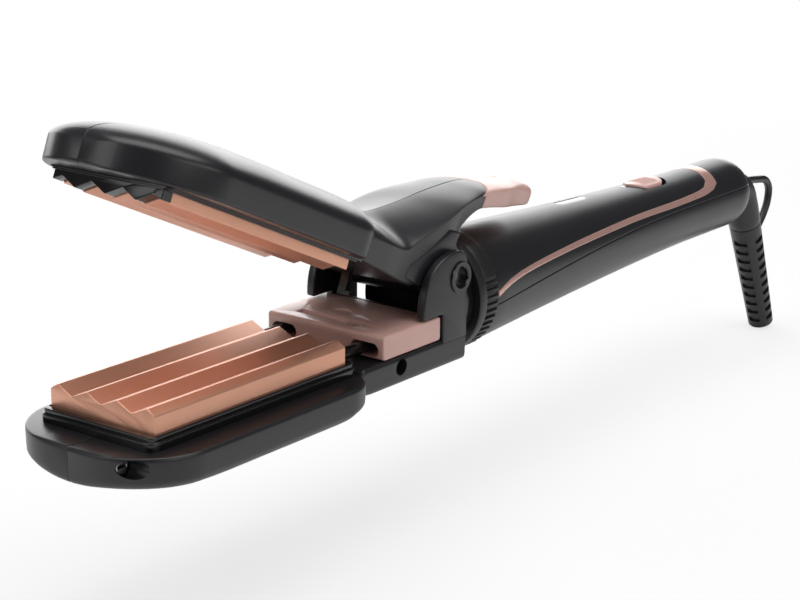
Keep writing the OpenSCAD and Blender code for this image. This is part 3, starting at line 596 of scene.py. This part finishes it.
def joint_x(turn):
    """Where black meets rose: x = 124 underneath, 122.3 at the crease, + 7 sin(turn) over it."""
    return TIP_X if turn is None else TIP_X - 1.7 + 7.0 * math.sin(turn)


SECTION_N = len(upper_section(TIP_X, 0.0))
# the share of the arch at each point of a section: None below the crease, 0 to pi/2 above it
ARCH_TURN = [None if j < 14 else max(0.0, math.pi / 2 * (j - 17) / 19) for j in range(SECTION_N)]


def joint_section(x, near, far, inset):
    """A section whose points slide along x so that it meets the curved joint at TIP_X."""
    share = 1 - abs(x - TIP_X) / (TIP_X - near if x < TIP_X else far - TIP_X)
    pts = []
    for j in range(SECTION_N):
        moved = x + (joint_x(ARCH_TURN[j]) - TIP_X) * max(0.0, share)
        pts.append(upper_section(moved, inset)[j])
    return np.array(pts)


JOINT_NEAR, JOINT_FAR = 108.0, 140.0
upper_xs = nose_stations(UP_NOSE, UPPER_BOW[1], 200, 1.0, list(np.arange(9.2, 56, 2.4)) + list(
    np.arange(56, 71, 0.5)) + list(np.arange(71, JOINT_NEAR, 1.0)))
upper_rings = [upper_section(x, e) for x, e in upper_xs]
upper_rings += [joint_section(x, JOINT_NEAR, JOINT_FAR, 0.0 if x < 123.7 else 0.12)
                for x in list(np.arange(JOINT_NEAR, 123.6, 1.0)) + [123.6, 123.8]]
for side, flip in (("right", False), ("left", True)):
    loft(f"upper_jaw_{side}_skin", upper_rings, "upper_jaw", "black_plastic",
         [f"upper_jaw_{side}_shell"], swing=True, mirror=flip)

# Hinge barrel and the webs that join it to the lever
CHEEK = 16.6
revolve("hinge_barrel", [(-CHEEK, 2.75), (-CHEEK, 6.5), (-CHEEK + 0.5, 7.0), (CHEEK - 0.5, 7.0),
                         (CHEEK, 6.5), (CHEEK, 2.75)], (HINGE_X, 0, HINGE_Z), (0, 1, 0),
        "upper_jaw", "black_plastic", swing=True)
WEB = [(91, 6), (104, 4.9), (HINGE_X, HINGE_Z - 7), (116.6, 8.4), (117.4, 13), (112.6, 17.8),
       (109.4, 19), (110.4, 22.6), (106, 22.0), (97, 14), (92, 10)]
for side in (-1, 1):
    lo, hi = sorted((side * CHEEK, side * (CHEEK - 3.6)))
    outline_plate(f"hinge_web_{'right' if side < 0 else 'left'}",
                  [rounded(WEB, [0, 1, 3, 3, 3, 2, 1, 1, 0, 0, 0], 5, closed=True)], lo, hi, 0.5,
                  lambda u, v, w: (u, w, v), "upper_jaw", "black_plastic", swing=True)

# Rose thumb rest: the lever's sections go on past the joint to a blunt, rounded end
def tip_ring(x):
    """A full ring at x, drawn in to a rounded end over the last 5 mm: inset = 5 (1 - cos)."""
    u = max(0.0, (x - (TIP_END - TIP_ROUND)) / TIP_ROUND)
    shrink = math.sqrt(max(0.0, 1 - u ** 2.4))
    half = joint_section(x, JOINT_NEAR, JOINT_FAR, 0.12 if x < TIP_X + 0.3 else 0.0)
    centre_z = (half[:, 2].min() + half[:, 2].max()) / 2
    half[:, 1] *= 0.45 + 0.55 * shrink
    half[:, 2] = centre_z + (half[:, 2] - centre_z) * (0.72 + 0.28 * shrink)
    left = (half * [1, -1, 1])[::-1]
    return np.concatenate([half[1:-1], left[1:-1]])


TIP_ROUND = 5.0
tip_xs = [TIP_X + 0.1, TIP_X + 0.4] + list(np.arange(125.4, 149, 1.5)) + [
    TIP_END - TIP_ROUND + TIP_ROUND * math.sin(t) for t in np.linspace(0, math.pi / 2, 16)]
loft("lever_tip_skin", [tip_ring(x) for x in tip_xs], "upper_jaw", "rose_plastic",
     ["lever_tip"], swing=True, sharp=40)

# ---- Plates ----

PITCH = 9.4
VALLEY, PEAK = 1.2, 3.4
PLATE_HALF = 16.5
PLATE_LEN = 67.0


def wave_plate(name, node, body, x0, x1, half, back_z, lift, edge_z, mat, swing):
    """A plate with a zigzag face: valleys at y = 0 and 9.4, peaks between, rounded by 0.35."""
    line = [(-half, edge_z)] + [(k * PITCH / 2, (VALLEY if k % 2 == 0 else PEAK) + lift)
                                for k in range(-3, 4)] + [(half, edge_z)]
    pts = [(-half, back_z)] + line + [(half, back_z)]
    radii = [0.0, 0.35] + [0.45] * 7 + [0.35, 0.0]
    base = rounded(pts, radii, 4, closed=True)
    centre_z = (back_z + VALLEY + lift) / 2
    rings = []
    for x, e in ((x0, 0.22), (x0 + 0.06, 0.08), (x0 + 0.22, 0.0), ((x0 + x1) / 2, 0.0),
                 (x1 - 0.22, 0.0), (x1 - 0.06, 0.08), (x1, 0.22)):
        p = base.copy()
        p[:, 0] *= (half - e) / half
        p[:, 1] -= e * np.sign(p[:, 1] - centre_z)
        rings.append(np.column_stack([np.full(len(p), x), p]))
    return loft(name, rings, body, mat, [node], swing=swing, sharp=24)


wave_plate("lower_plate_skin", "lower_wave_plate", "handle", 0, PLATE_LEN, PLATE_HALF, RIM, 0.0,
           2.0, "copper", False)
wave_plate("upper_plate_skin", "upper_wave_plate", "upper_jaw", 0.02, PLATE_LEN, PLATE_HALF, 8.6,
           0.35, 2.65, "copper", True)
wave_plate("upper_cap_skin", "upper_end_cap", "upper_jaw", -3.4, 0.0, PLATE_HALF + 0.3, 8.6, 0.65,
           2.95, "gloss_black", True)

flat_plate = lambda u, v, w: (u, v, w)
SLACK = 0.4
HOLE = rect(-SLACK, -PLATE_HALF - SLACK, PLATE_LEN + SLACK, PLATE_HALF + SLACK, 0.6)
outline_plate("lower_frame_step", [rect(-2.8, -18.1, 70.4, 18.1, 3), HOLE], RIM - 0.3, -3.5, 0.4,
              flat_plate, "handle", "gloss_black", ["lower_plate_frame"])
outline_plate("lower_frame_lip", [rect(-2.2, -17.5, 69.8, 17.5, 2), HOLE], -3.9, -2.4, 0.25,
              flat_plate, "handle", "gloss_black")
UP_HOLE = rect(-3.5, -PLATE_HALF - SLACK, PLATE_LEN + SLACK, PLATE_HALF + SLACK, 0.4)
outline_plate("upper_frame_step", [rect(-4, -18.8, 70, 18.8, 2), UP_HOLE], 5.6, 6.6, 0.2,
              flat_plate, "upper_jaw", "gloss_black", ["upper_plate_frame"], swing=True)
outline_plate("upper_frame_lip", [rect(-3.9, -17.9, 69, 17.9, 1.4), UP_HOLE], 5.2, 6.0, 0.15,
              flat_plate, "upper_jaw", "gloss_black", swing=True)

# ---- Ears, collars and rods ----

EAR_IN = 17.0
EAR = [(103.6, DECK - 1.0), (103.6, 2.5), (95.2, 2.5)] + [
    (95.2, 6.0), (96.2, 10.2), (98.8, 14.4), (103.6, 17.4), (109.4, 18.4), (112.6, 17.6),
    (114.0, 15.4), (114.0, DECK - 1.0)]
EAR_RADII = [0, 0.8, 0.8, 3, 4, 4, 4, 4, 2, 1.2, 0]
ear_line = rounded(EAR, EAR_RADII, 6, closed=True)
for side in (-1, 1):
    tag = "right" if side < 0 else "left"
    lo, hi = sorted((side * EAR_IN, side * NECK))
    outline_plate(f"hinge_ear_{tag}", [ear_line, circle(HINGE_X, HINGE_Z, 4.35)], lo, hi, 0.5,
                  lambda u, v, w: (u, w, v), "handle", "black_plastic")
    out = side * (NECK + 0.5)
    revolve(f"hinge_collar_{tag}",
            [(side * EAR_IN, 2.75), (side * EAR_IN, 4.3), (out - side * 0.2, 4.3), (out, 4.1),
             (out, 3.05), (out - side * 0.25, 2.75)], (HINGE_X, 0, HINGE_Z), (0, 1, 0), "handle",
            "gloss_black", ["hinge_eyelets"] if side < 0 else ())
for y in (14.4, -11.6):
    revolve("plate_rod_" + ("left" if y > 0 else "right"),
            [(67.4, 0.01), (67.4, 1.3), (67.7, 1.6), (104.8, 1.6), (104.8, 0.01)], (0, y, -2.05),
            (1, 0, 0), "handle", "gloss_black", ["plate_rods"] if y > 0 else (), sides=40)
outline_plate("slider_bulkhead", [rect(103.6, DECK - 1, 105.2, 1.6, 0.4)], -EAR_IN - 0.4,
              EAR_IN + 0.4, 0.3, lambda u, v, w: (u, w, v), "handle", "black_plastic")

# ---- Lock slider ----

SL0, SL1, SL_LOW, SL_TOP, SL_HALF = 79.0, 103.0, -4.3, 2.05, 19.1
slider = outline_plate("lock_slider_skin", [rect(SL0, SL_LOW, SL1, SL_TOP, 1.0)], -SL_HALF,
                       SL_HALF, 0.45, lambda u, v, w: (u, w, v), "lock_slider", "rose_plastic",
                       ["lock_slider"])


def slot_line(y0, y1, z, r, n=12):
    """A round-ended slot from y0 to y1 at height z."""
    a = np.linspace(math.pi / 2, 3 * math.pi / 2, n)
    left = np.stack([y0 + r + r * np.cos(a), z + r * np.sin(a)], 1)
    right = np.stack([y1 - r - r * np.cos(a[::-1]), z + r * np.sin(a[::-1])], 1)
    return np.concatenate([left, right])


tools = [prism_cutter(slot_line(9.5, 17.6, -2.05, 1.9), "x", SL0 - 1, SL1 + 1),
         prism_cutter(slot_line(-17.4, -8.4, -2.05, 1.9), "x", SL0 - 1, SL1 + 1),
         prism_cutter(rect(82.9, -12.4, 85.9, 13.2, 0.4), "z", SL_TOP - 0.8, SL_TOP + 1),
         prism_cutter(rect(82.05, -8.0, 86.1, -1.7, 0.5), "z", -1.0, SL_TOP + 1.2),
         prism_cutter(rect(81.5, -8.2, 88.0, 2.6), "z", -3.4, 0.2)]
moon = [(90.4 + 3 * math.sin(t), 4 - 3 * math.cos(t)) for t in np.linspace(0, math.pi, 20)]
tools.append(prism_cutter(moon, "z", SL_TOP - 0.6, SL_TOP + 1))
tools.append(prism_cutter(rect(90.4, -2.6, 91.3, 3.0, 0.2), "z", SL_TOP - 0.6, SL_TOP + 1.3))
cut(slider, tools, bevel=0.14)

# ---- Locking ring ----

RING_X, RING_LEN, RING_R = 124.5, 8.6, 17.0


def ring_skin():
    """Ribs on the sides: r = R - 0.2 - 0.75 * valley, where valley repeats every 7 degrees."""
    n = 1080
    a = np.arange(n) * 2 * math.pi / n
    from_side = np.degrees(np.arcsin(np.sin(a)))
    ribbed = 1 / (1 + np.exp(-(from_side + 71) * 1.2)) / (1 + np.exp((from_side - 20) * 1.2))
    wave = 0.5 - 0.5 * np.cos(np.radians((from_side + 66) * 360 / 7) + math.pi)
    valley = ribbed * np.clip((wave - 0.3) / 0.35, 0, 1) ** 1.2
    under = 1 / (1 + np.exp((from_side + 71) * 1.2))
    valley = np.maximum(valley, under)
    prof = [(0, -1.3), (0, -0.55), (0.25, -0.3), (0.7, -0.2), (2.7, -0.2), (2.95, -0.28),
            (3.1, -0.35), (3.35, -0.25), (RING_LEN - 0.7, -0.2), (RING_LEN - 0.25, -0.35),
            (RING_LEN, -0.7), (RING_LEN, -1.3)]
    rings = []
    for s, d in prof:
        r = RING_R + d - (0.75 * valley if 3.0 < s < 8.2 else (0.2 * valley if s > 8.2 else 0))
        rings.append(np.column_stack([np.full(n, RING_X + s), r * np.cos(a),
                                      AXIS_Z + r * np.sin(a)]))
    inner = 13.06
    for s in (RING_LEN, 0.0):
        rings.append(np.column_stack([np.full(n, RING_X + s), inner * np.cos(a),
                                      AXIS_Z + inner * np.sin(a)]))
    return loft("locking_ring_skin", rings, "locking_ring", "ring_plastic", ["locking_ring"],
                closed_along=True, sharp=28)


ring_skin()

# ---- Handle ----

H0, H1, DOME_LEN = 133.4, 294.5, 13.5
DOME_X = H1 - DOME_LEN
REAR_R, TAPER, TAPER_LEN, TAPER_POWER, DOME_POWER = 11.5, 4.9, 120.0, 1.4, 2.2
HANDLE_WALL = 2.0
MOUTH_R = 5.7


def handle_r(x):
    """r = 11.5 + 4.9 (1 - u)^1.4 over 120 mm, then a dome of power 2.2."""
    if x < DOME_X:
        return REAR_R + TAPER * max(0.0, 1 - (x - H0) / TAPER_LEN) ** TAPER_POWER
    return REAR_R * max(0.0, 1 - ((x - DOME_X) / DOME_LEN) ** DOME_POWER) ** (1 / DOME_POWER)


def parting(x):
    """Height of the line between the shells: -2.2 + 5.8 sin(90 degrees (x - H0) / 105)."""
    return -2.2 + 5.8 * math.sin(math.pi / 2 * min(1.0, max(0.0, x - H0) / 105.0))


RIM_R = MOUTH_R + 0.4
MOUTH_X = DOME_X + DOME_LEN * (1 - (RIM_R / REAR_R) ** DOME_POWER) ** (1 / DOME_POWER)
handle_xs = list(np.linspace(H0, DOME_X, 60)) + [
    DOME_X + (MOUTH_X - DOME_X) * math.sin(t) for t in np.linspace(0, math.pi / 2, 22)[1:]]


def shell_grid(top):
    """Rows of one handle shell, from its parting edge round to the other one.

    The edge is rounded: the last 0.35 mm of arc drops by d = 0.3 (1 - sqrt(1 - u^2)).
    """
    rows = []
    edge = 0.35
    us = np.concatenate([[0, 0.15, 0.35, 0.6, 0.85], np.ones(1)])
    for i, x in enumerate(handle_xs):
        r = handle_r(x)
        front = 0.25 if i == 0 else 0.0
        z = max(-r * 0.98, min(r * 0.98, parting(x) - AXIS_Z))
        a0 = math.asin(z / r)
        lo, hi = (a0, math.pi - a0) if top else (math.pi - a0, 2 * math.pi + a0)
        step = edge / r
        left = [(lo + 0.02 / r + step * u, 0.3 * (1 - math.sqrt(1 - (1 - u) ** 2))) for u in us]
        right = [(hi - 0.02 / r - step * u, 0.3 * (1 - math.sqrt(1 - (1 - u) ** 2)))
                 for u in us[::-1]]
        mid = [(lo + step + (hi - lo - 2 * step) * t, 0) for t in np.linspace(0, 1, 90)[1:-1]]
        rows.append([(x, (r - d - front) * math.cos(a), AXIS_Z + (r - d - front) * math.sin(a))
                     for a, d in left + mid + right])
    return rows


def handle_shell(name, node, top):
    outer = np.array(shell_grid(top))
    axis = np.array([0, 0, AXIS_Z])
    inner = outer.copy()
    r = np.linalg.norm(inner[..., 1:] - axis[1:], axis=-1, keepdims=True)
    keep = np.maximum(r - HANDLE_WALL, np.minimum(MOUTH_R, r - 0.3)) / r
    inner[..., 1:] = axis[1:] + (inner[..., 1:] - axis[1:]) * keep
    rings = np.concatenate([outer, inner[:, ::-1]], axis=1)
    return loft(name, rings, "handle", "black_plastic", [node], sharp=30)


handle_top = handle_shell("handle_top_skin", "handle_top_shell", True)
handle_shell("handle_bottom_skin", "handle_bottom_shell", False)

# Rose band: centre line and half width in x, then the loop over the top near the rear
BAND_LOW = [(133.4, 0.0), (140, 2.1), (150, 3.5), (164, 4.3), (187, 5.0), (216, 5.4), (240, 5.1),
            (254, 5.2), (263, 6.0), (267.2, 7.6), (268.0, 10.0), (268.0, 12.2)]
BAND_HIGH = [(133.4, 1.6), (140, 3.7), (150, 5.0), (164, 5.8), (187, 6.6), (216, 7.0),
             (240, 6.8), (252, 7.0), (259, 7.6), (262, 9.0), (263, 11.0), (263.0, 12.2)]


def on_handle(x, theta, lift=0.0):
    """A point of the handle's surface at angle theta above +Y, lifted off it."""
    r = handle_r(x) + lift
    return (x, r * math.cos(theta), AXIS_Z + r * math.sin(theta))


def band_edge(table, n):
    """(x, theta) along one edge of the band, evenly spaced, up to the top of the handle."""
    pts = []
    for x in np.linspace(table[0][0], table[-3][0], 40):
        z = lookup(x, table[:-2])
        pts.append((x, math.asin(min(0.999, (z - AXIS_Z) / handle_r(x)))))
    x_top = table[-1][0]
    x2, z2 = table[-2]
    pts.append((x2, math.asin(min(0.999, (z2 - AXIS_Z) / handle_r(x2)))))
    pts.append((x_top, math.radians(75)))
    pts.append((x_top, math.pi / 2))
    pts = np.array(pts)
    span = np.hypot(np.diff(pts[:, 0]), np.diff(pts[:, 1]) * REAR_R)
    s = np.concatenate([[0], np.cumsum(span)])
    t = np.linspace(0, s[-1], n)
    return np.stack([np.interp(t, s, pts[:, 0]), np.interp(t, s, pts[:, 1])], 1)


def band():
    n = 220
    low, high = band_edge(BAND_LOW, n), band_edge(BAND_HIGH, n)
    low = np.concatenate([low, (low * [1, -1] + [0, math.pi])[-2::-1]])
    high = np.concatenate([high, (high * [1, -1] + [0, math.pi])[-2::-1]])
    across = [(0.0, -0.5), (0.0, 0.0), (0.06, 0.05), (0.2, 0.07), (0.5, 0.08), (0.8, 0.07),
              (0.94, 0.05), (1.0, 0.0), (1.0, -0.5)]
    rings = []
    for a, b in zip(low, high):
        rings.append([on_handle(*(a + (b - a) * t), lift) for t, lift in across])
    loft("trim_band", rings, "handle", "rose_gold", ["trim_stripe"], sharp=50)


band()


SWITCH_TIP, SWITCH_SIDE, SWITCH_ROUND, SWITCH_HALF = 225.9, 230.6, 238.6, 4.4
SWITCH_GAP, SWITCH_ROOM = 0.35, 2.1
WINDOW_X0, WINDOW_X1, WINDOW_HALF = 186.0, 205.0, 1.8
LAMP_X, LAMP_R = 223.7, 0.75


def shield(grow, longer, n=14):
    """Outline of the switch from above: a point in front, straight sides, a round rear."""
    half = SWITCH_HALF + grow
    rear = SWITCH_ROUND + longer
    tip = [(SWITCH_TIP - 1.2 * grow, 0.0)]
    arc = [(rear + half * math.sin(t), -half * math.cos(t)) for t in np.linspace(0, math.pi, n)]
    pts = tip + [(SWITCH_SIDE, -half)] + arc + [(SWITCH_SIDE, half)]
    return rounded(pts, [0.8, 2.0] + [0] * n + [2.0], 5, closed=True)


def pill(x0, x1, half, n=12):
    a = np.linspace(math.pi / 2, 3 * math.pi / 2, n)
    left = np.stack([x0 + half + half * np.cos(a), half * np.sin(a)], 1)
    right = np.stack([x1 - half - half * np.cos(a[::-1]), half * np.sin(a[::-1])], 1)
    return np.concatenate([left, right])


def saddle(name, outline_at, xs, lift, crown, body, mat, nodes, ribs=None):
    """A pad on the handle's top: rows across it at each x, with its rim turned down.

    height = handle surface + lift + crown (1 - v^2), v from -1 to 1 across.
    """
    face = [(v, 0.0) for v in np.linspace(-0.96, 0.96, 25)]
    across = [(-1, 1.6), (-1, 0.18)] + face + [(1, 0.18), (1, 1.6)]
    rows = []
    for x in xs:
        row_pts = []
        for v, drop in across:
            y = outline_at(x) * v
            r = handle_r(min(x, DOME_X))
            z = AXIS_Z + math.sqrt(max(0.1, r * r - y * y)) + lift + crown * (1 - v * v) - drop
            if ribs and abs(v) < 0.97:
                z += ribs(x, y)
            row_pts.append((x, y, z))
        rows.append(row_pts)
    return loft(name, rows, body, mat, nodes, sharp=45)


def switch_half(x):
    """Half width of the switch at x: 4.4 ((x - 225.9) / 4.7)^0.85, straight, then a half circle."""
    if x < SWITCH_SIDE:
        return max(0.25, SWITCH_HALF * ((x - SWITCH_TIP) / (SWITCH_SIDE - SWITCH_TIP)) ** 0.85)
    if x < SWITCH_ROUND:
        return SWITCH_HALF
    return round_end(x - SWITCH_ROUND, SWITCH_HALF)


def round_end(along, r):
    """Half width of a round end at a distance from its centre: sqrt(r^2 - along^2)."""
    return r * math.sqrt(max(0.004, 1 - (along / r) ** 2))


def window_half(x):
    middle, inset_half = (WINDOW_X0 + WINDOW_X1) / 2, WINDOW_HALF - 0.1
    return round_end(max(0.0, abs(x - middle) - 7.7), inset_half)


def switch_ribs(x, y):
    """Ribs 1.5 mm apart and 0.22 mm high on the switch's rear part."""
    on_ribs = 231.2 < x < 239.5 and abs(y) < 2.9
    return 0.22 * max(0.0, math.sin((x - 231.2) * 2 * math.pi / 1.5)) if on_ribs else 0.0


switch_xs = list(np.linspace(SWITCH_TIP + 0.05, SWITCH_ROUND, 90)) + [
    SWITCH_ROUND + SWITCH_HALF * math.sin(t) for t in np.linspace(0, math.pi / 2, 18)[1:]]
saddle("power_switch_skin", switch_half, switch_xs, 0.55, 0.1, "power_switch", "rose_plastic",
       ["power_switch"], ribs=switch_ribs)
cut(handle_top, [prism_cutter(shield(SWITCH_GAP, SWITCH_ROOM), "z", 5.0, 20.0),
                 prism_cutter(pill(WINDOW_X0, WINDOW_X1, WINDOW_HALF), "z",
                              handle_r(195) - 0.1, 20.0)])
saddle("status_window_skin", window_half, np.linspace(WINDOW_X0 + 0.12, WINDOW_X1 - 0.12, 80),
       -0.12, 0.0, "handle", "gloss_black", ["status_window"])
saddle("lamp_skin", lambda x: round_end(x - LAMP_X, LAMP_R),
       np.linspace(LAMP_X - 0.72, LAMP_X + 0.72, 16), 0.05, 0.05, "handle", "lens",
       ["led_lens"])

# ---- Cord outlet ----

LEAN = math.radians(22.9)
CORD_R = 3.0
TURN = math.pi / 2 - LEAN
BEND_X, BEND = 293.9, 8.0
DIR = np.array([math.sin(LEAN), 0, -math.cos(LEAN)])
BEND_END = np.array([BEND_X + BEND * math.sin(TURN), 0, AXIS_Z - BEND * (1 - math.cos(TURN))])
PLAIN = 10.6
RELIEF_LEN = 42.0


def tube_rings(path, radii, sides):
    """Rings round a path that stays in planes of constant Y."""
    path = np.asarray(path, float)
    rings = []
    a = np.arange(sides) * 2 * math.pi / sides
    for i, (p, r) in enumerate(zip(path, radii)):
        along = path[min(i + 1, len(path) - 1)] - path[max(i - 1, 0)]
        along /= np.linalg.norm(along)
        across = np.cross([0, 1.0, 0], along)
        across /= np.linalg.norm(across)
        third = np.cross(along, across)
        rings.append(p + r * (np.cos(a)[:, None] * across + np.sin(a)[:, None] * third))
    return rings


bend_path = [(BEND_X + BEND * math.sin(t), 0, AXIS_Z - BEND * (1 - math.cos(t)))
             for t in np.linspace(0, TURN, 26)]
elbow_path = [(280.0, 0, AXIS_Z), (BEND_X - 1.6, 0, AXIS_Z)] + bend_path + [
    BEND_END + DIR * s for s in (1, 4, 8, PLAIN - 0.4, PLAIN - 0.05)]
elbow_r = [5.2, 5.4] + [5.4] * 26 + [5.42, 5.5, 5.5, 5.5, 5.3]
loft("elbow_skin", tube_rings(elbow_path, elbow_r, 64), "cord_swivel", "black_plastic",
     ["swivel_elbow"])


def relief_skin():
    """A taper with 10 rows of 4 slots: r = r(s) - 0.85 inside a slot, on a fine grid."""
    m = 176
    a = np.arange(m) * 2 * math.pi / m
    start = BEND_END + DIR * PLAIN
    rings = []
    first, pitch, wide = 4.6, 3.65, 1.8
    marks = {0.0, 0.25, RELIEF_LEN - 0.5, RELIEF_LEN - 0.2, RELIEF_LEN}
    for k in range(10):
        s0 = first + pitch * k
        marks |= {s0 - 0.35, s0 - 0.12, s0, s0 + 0.1, s0 + 0.4, s0 + 0.9, s0 + wide - 0.1,
                  s0 + wide, s0 + wide + 0.12, s0 + wide + 0.35}
    turned = np.abs((np.degrees(a) + 45) % 90 - 45)
    in_slot = np.clip((28.5 - turned) / 2.2, 0, 1)
    u = np.array([1.0, 0, 0])
    u = u - DIR * u.dot(DIR)
    u /= np.linalg.norm(u)
    v = np.cross(DIR, u)
    for s in sorted(marks):
        r = 5.4 + (4.3 - 5.4) * s / RELIEF_LEN
        k = round((s - first - wide / 2) / pitch)
        depth = 0.0
        if 0 <= k <= 9:
            off = abs(s - first - pitch * k - wide / 2)
            depth = 0.85 if off <= wide / 2 - 0.05 else (0.12 if off <= wide / 2 + 0.02 else 0.0)
        rr = r - depth * in_slot - (0.25 if s in (0.0, RELIEF_LEN) else 0.0)
        rings.append(start + DIR * s + rr[:, None] * (np.cos(a)[:, None] * u
                                                      + np.sin(a)[:, None] * v))
    for s in (RELIEF_LEN, RELIEF_LEN - 1, RELIEF_LEN - 14):
        rings.append(start + DIR * s + (CORD_R if s > RELIEF_LEN - 10 else 2.9)
                     * (np.cos(a)[:, None] * u + np.sin(a)[:, None] * v))
    loft("strain_relief_skin", rings, "cord_swivel", "black_plastic", ["strain_relief"],
         sharp=24)


relief_skin()

LOOP = [(300, 0, 0.4), (305, 0, 0.6), (312, 0, -0.2), (318.4, 0, -1.4), (321.6, 0, -4.6),
        (321.4, 0, -9), (319.2, 0, -13), (315.4, 0, -17), (310.4, 0, -21.2)]


def smooth_path(points, n):
    """Catmull-Rom line through points."""
    p = np.asarray(points, float)
    out = []
    for i in range(len(p) - 1):
        a, b, c, d = p[max(i - 1, 0)], p[i], p[i + 1], p[min(i + 2, len(p) - 1)]
        for k in range(n):
            t = k / n
            out.append(0.5 * (2 * b + (c - a) * t + (2 * a - 5 * b + 4 * c - d) * t * t
                              + (3 * b - a - 3 * c + d) * t ** 3))
    out.append(p[-1])
    return out


loop_path = smooth_path(LOOP, 10)
loft("hang_loop_skin", tube_rings(loop_path, [1.3] * len(loop_path), 20), "cord_swivel",
     "black_plastic", ["hang_loop"])

# ---- Camera, lights and stage ----

PHOTO_W = 800.0
FOCAL_PX = 2022.0
CAMERA_AT = (-302.4, -314.0, 149.4)
YAW, PITCH, ROLL = 0.650, 0.278, 0.009


def set_camera():
    """Pinhole camera: yaw from +X towards +Y, pitch down, then roll about the view axis."""
    f = np.array([math.cos(YAW) * math.cos(PITCH), math.sin(YAW) * math.cos(PITCH),
                  -math.sin(PITCH)])
    r = np.array([math.sin(YAW), -math.cos(YAW), 0.0])
    u = np.cross(r, f)
    r2 = r * math.cos(ROLL) + u * math.sin(ROLL)
    u2 = u * math.cos(ROLL) - r * math.sin(ROLL)
    cam = bpy.data.cameras.new("photo_camera")
    cam.sensor_width = 36.0
    cam.lens = FOCAL_PX * 36.0 / PHOTO_W
    cam.clip_start, cam.clip_end = 0.01, 20.0
    obj = bpy.data.objects.new("photo_camera", cam)
    bpy.context.scene.collection.objects.link(obj)
    turn = Matrix((r2, u2, -f)).transposed().to_4x4()
    turn.translation = row(CAMERA_AT)
    obj.matrix_world = turn
    bpy.context.scene.camera = obj


def area_light(name, at, target, size, power):
    light = bpy.data.lights.new(name, "AREA")
    light.shape = "RECTANGLE"
    light.size, light.size_y = size
    light.energy = power
    obj = bpy.data.objects.new(name, light)
    bpy.context.scene.collection.objects.link(obj)
    at, target = np.array(at, float), np.array(target, float)
    back = (at - target) / np.linalg.norm(at - target)
    side = np.cross([0, 0, 1.0], back)
    side = side / np.linalg.norm(side) if np.linalg.norm(side) > 1e-6 else np.array([1.0, 0, 0])
    turn = Matrix((side, np.cross(back, side), back)).transposed().to_4x4()
    turn.translation = at
    obj.matrix_world = turn


def stage():
    world = bpy.data.worlds.new("studio")
    bpy.context.scene.world = world
    world.use_nodes = True
    n, l = world.node_tree.nodes, world.node_tree.links
    n.clear()
    out = n.new("ShaderNodeOutputWorld")
    lit = n.new("ShaderNodeBackground")
    lit.inputs["Color"].default_value = (0.9, 0.92, 0.95, 1)
    lit.inputs["Strength"].default_value = 0.12
    seen = n.new("ShaderNodeBackground")
    seen.inputs["Color"].default_value = (1, 1, 1, 1)
    seen.inputs["Strength"].default_value = 1.0
    path = n.new("ShaderNodeLightPath")
    mix = n.new("ShaderNodeMixShader")
    l.new(path.outputs["Is Camera Ray"], mix.inputs["Fac"])
    l.new(lit.outputs[0], mix.inputs[1])
    l.new(seen.outputs[0], mix.inputs[2])
    l.new(mix.outputs[0], out.inputs["Surface"])
    floor_mesh = bpy.data.meshes.new("studio_floor")
    s = 3.0
    floor_mesh.from_pydata([(-s, -s, 0), (s, -s, 0), (s, s, 0), (-s, s, 0)], [], [(0, 1, 2, 3)])
    floor = bpy.data.objects.new("studio_floor", floor_mesh)
    bpy.context.scene.collection.objects.link(floor)
    m = bpy.data.materials.new("studio_floor")
    m.use_nodes = True
    n, l = m.node_tree.nodes, m.node_tree.links
    b = n["Principled BSDF"]
    b.inputs["Base Color"].default_value = (0.95, 0.95, 0.95, 1)
    b.inputs["Roughness"].default_value = 1.0
    b.inputs["Specular IOR Level"].default_value = 0.0
    # the floor fades out between 0.35 m and 0.9 m from the middle
    co = n.new("ShaderNodeTexCoord")
    far = n.new("ShaderNodeVectorMath")
    far.operation = "LENGTH"
    l.new(co.outputs["Object"], far.inputs[0])
    fade = n.new("ShaderNodeMapRange")
    fade.interpolation_type = "SMOOTHSTEP"
    fade.inputs["From Min"].default_value = 0.35
    fade.inputs["From Max"].default_value = 0.9
    fade.inputs["To Min"].default_value = 1.0
    fade.inputs["To Max"].default_value = 0.0
    l.new(far.outputs["Value"], fade.inputs["Value"])
    # the camera sees the floor's shadow at a third of its strength
    path = n.new("ShaderNodeLightPath")
    share = n.new("ShaderNodeMapRange")
    share.inputs["To Min"].default_value = 1.0
    share.inputs["To Max"].default_value = 0.33
    l.new(path.outputs["Is Camera Ray"], share.inputs["Value"])
    seen = n.new("ShaderNodeMath")
    seen.operation = "MULTIPLY"
    l.new(fade.outputs["Result"], seen.inputs[0])
    l.new(share.outputs["Result"], seen.inputs[1])
    l.new(seen.outputs[0], b.inputs["Alpha"])
    floor_mesh.materials.append(m)
    bpy.context.scene.view_settings.view_transform = "Standard"


set_camera()
stage()
area_light("top_softbox", (-0.05, -0.05, 0.75), (0, 0, 0.05), (0.9, 0.5), 4.5)
area_light("back_softbox", (0.55, 0.75, 0.32), (0, 0, 0.05), (1.6, 0.6), 9)
area_light("left_softbox", (-0.75, 0.25, 0.45), (-0.05, 0, 0.05), (0.5, 0.5), 1.5)
area_light("front_softbox", (-0.1, -0.9, 0.45), (0, 0, 0.05), (0.9, 0.35), 2.0)
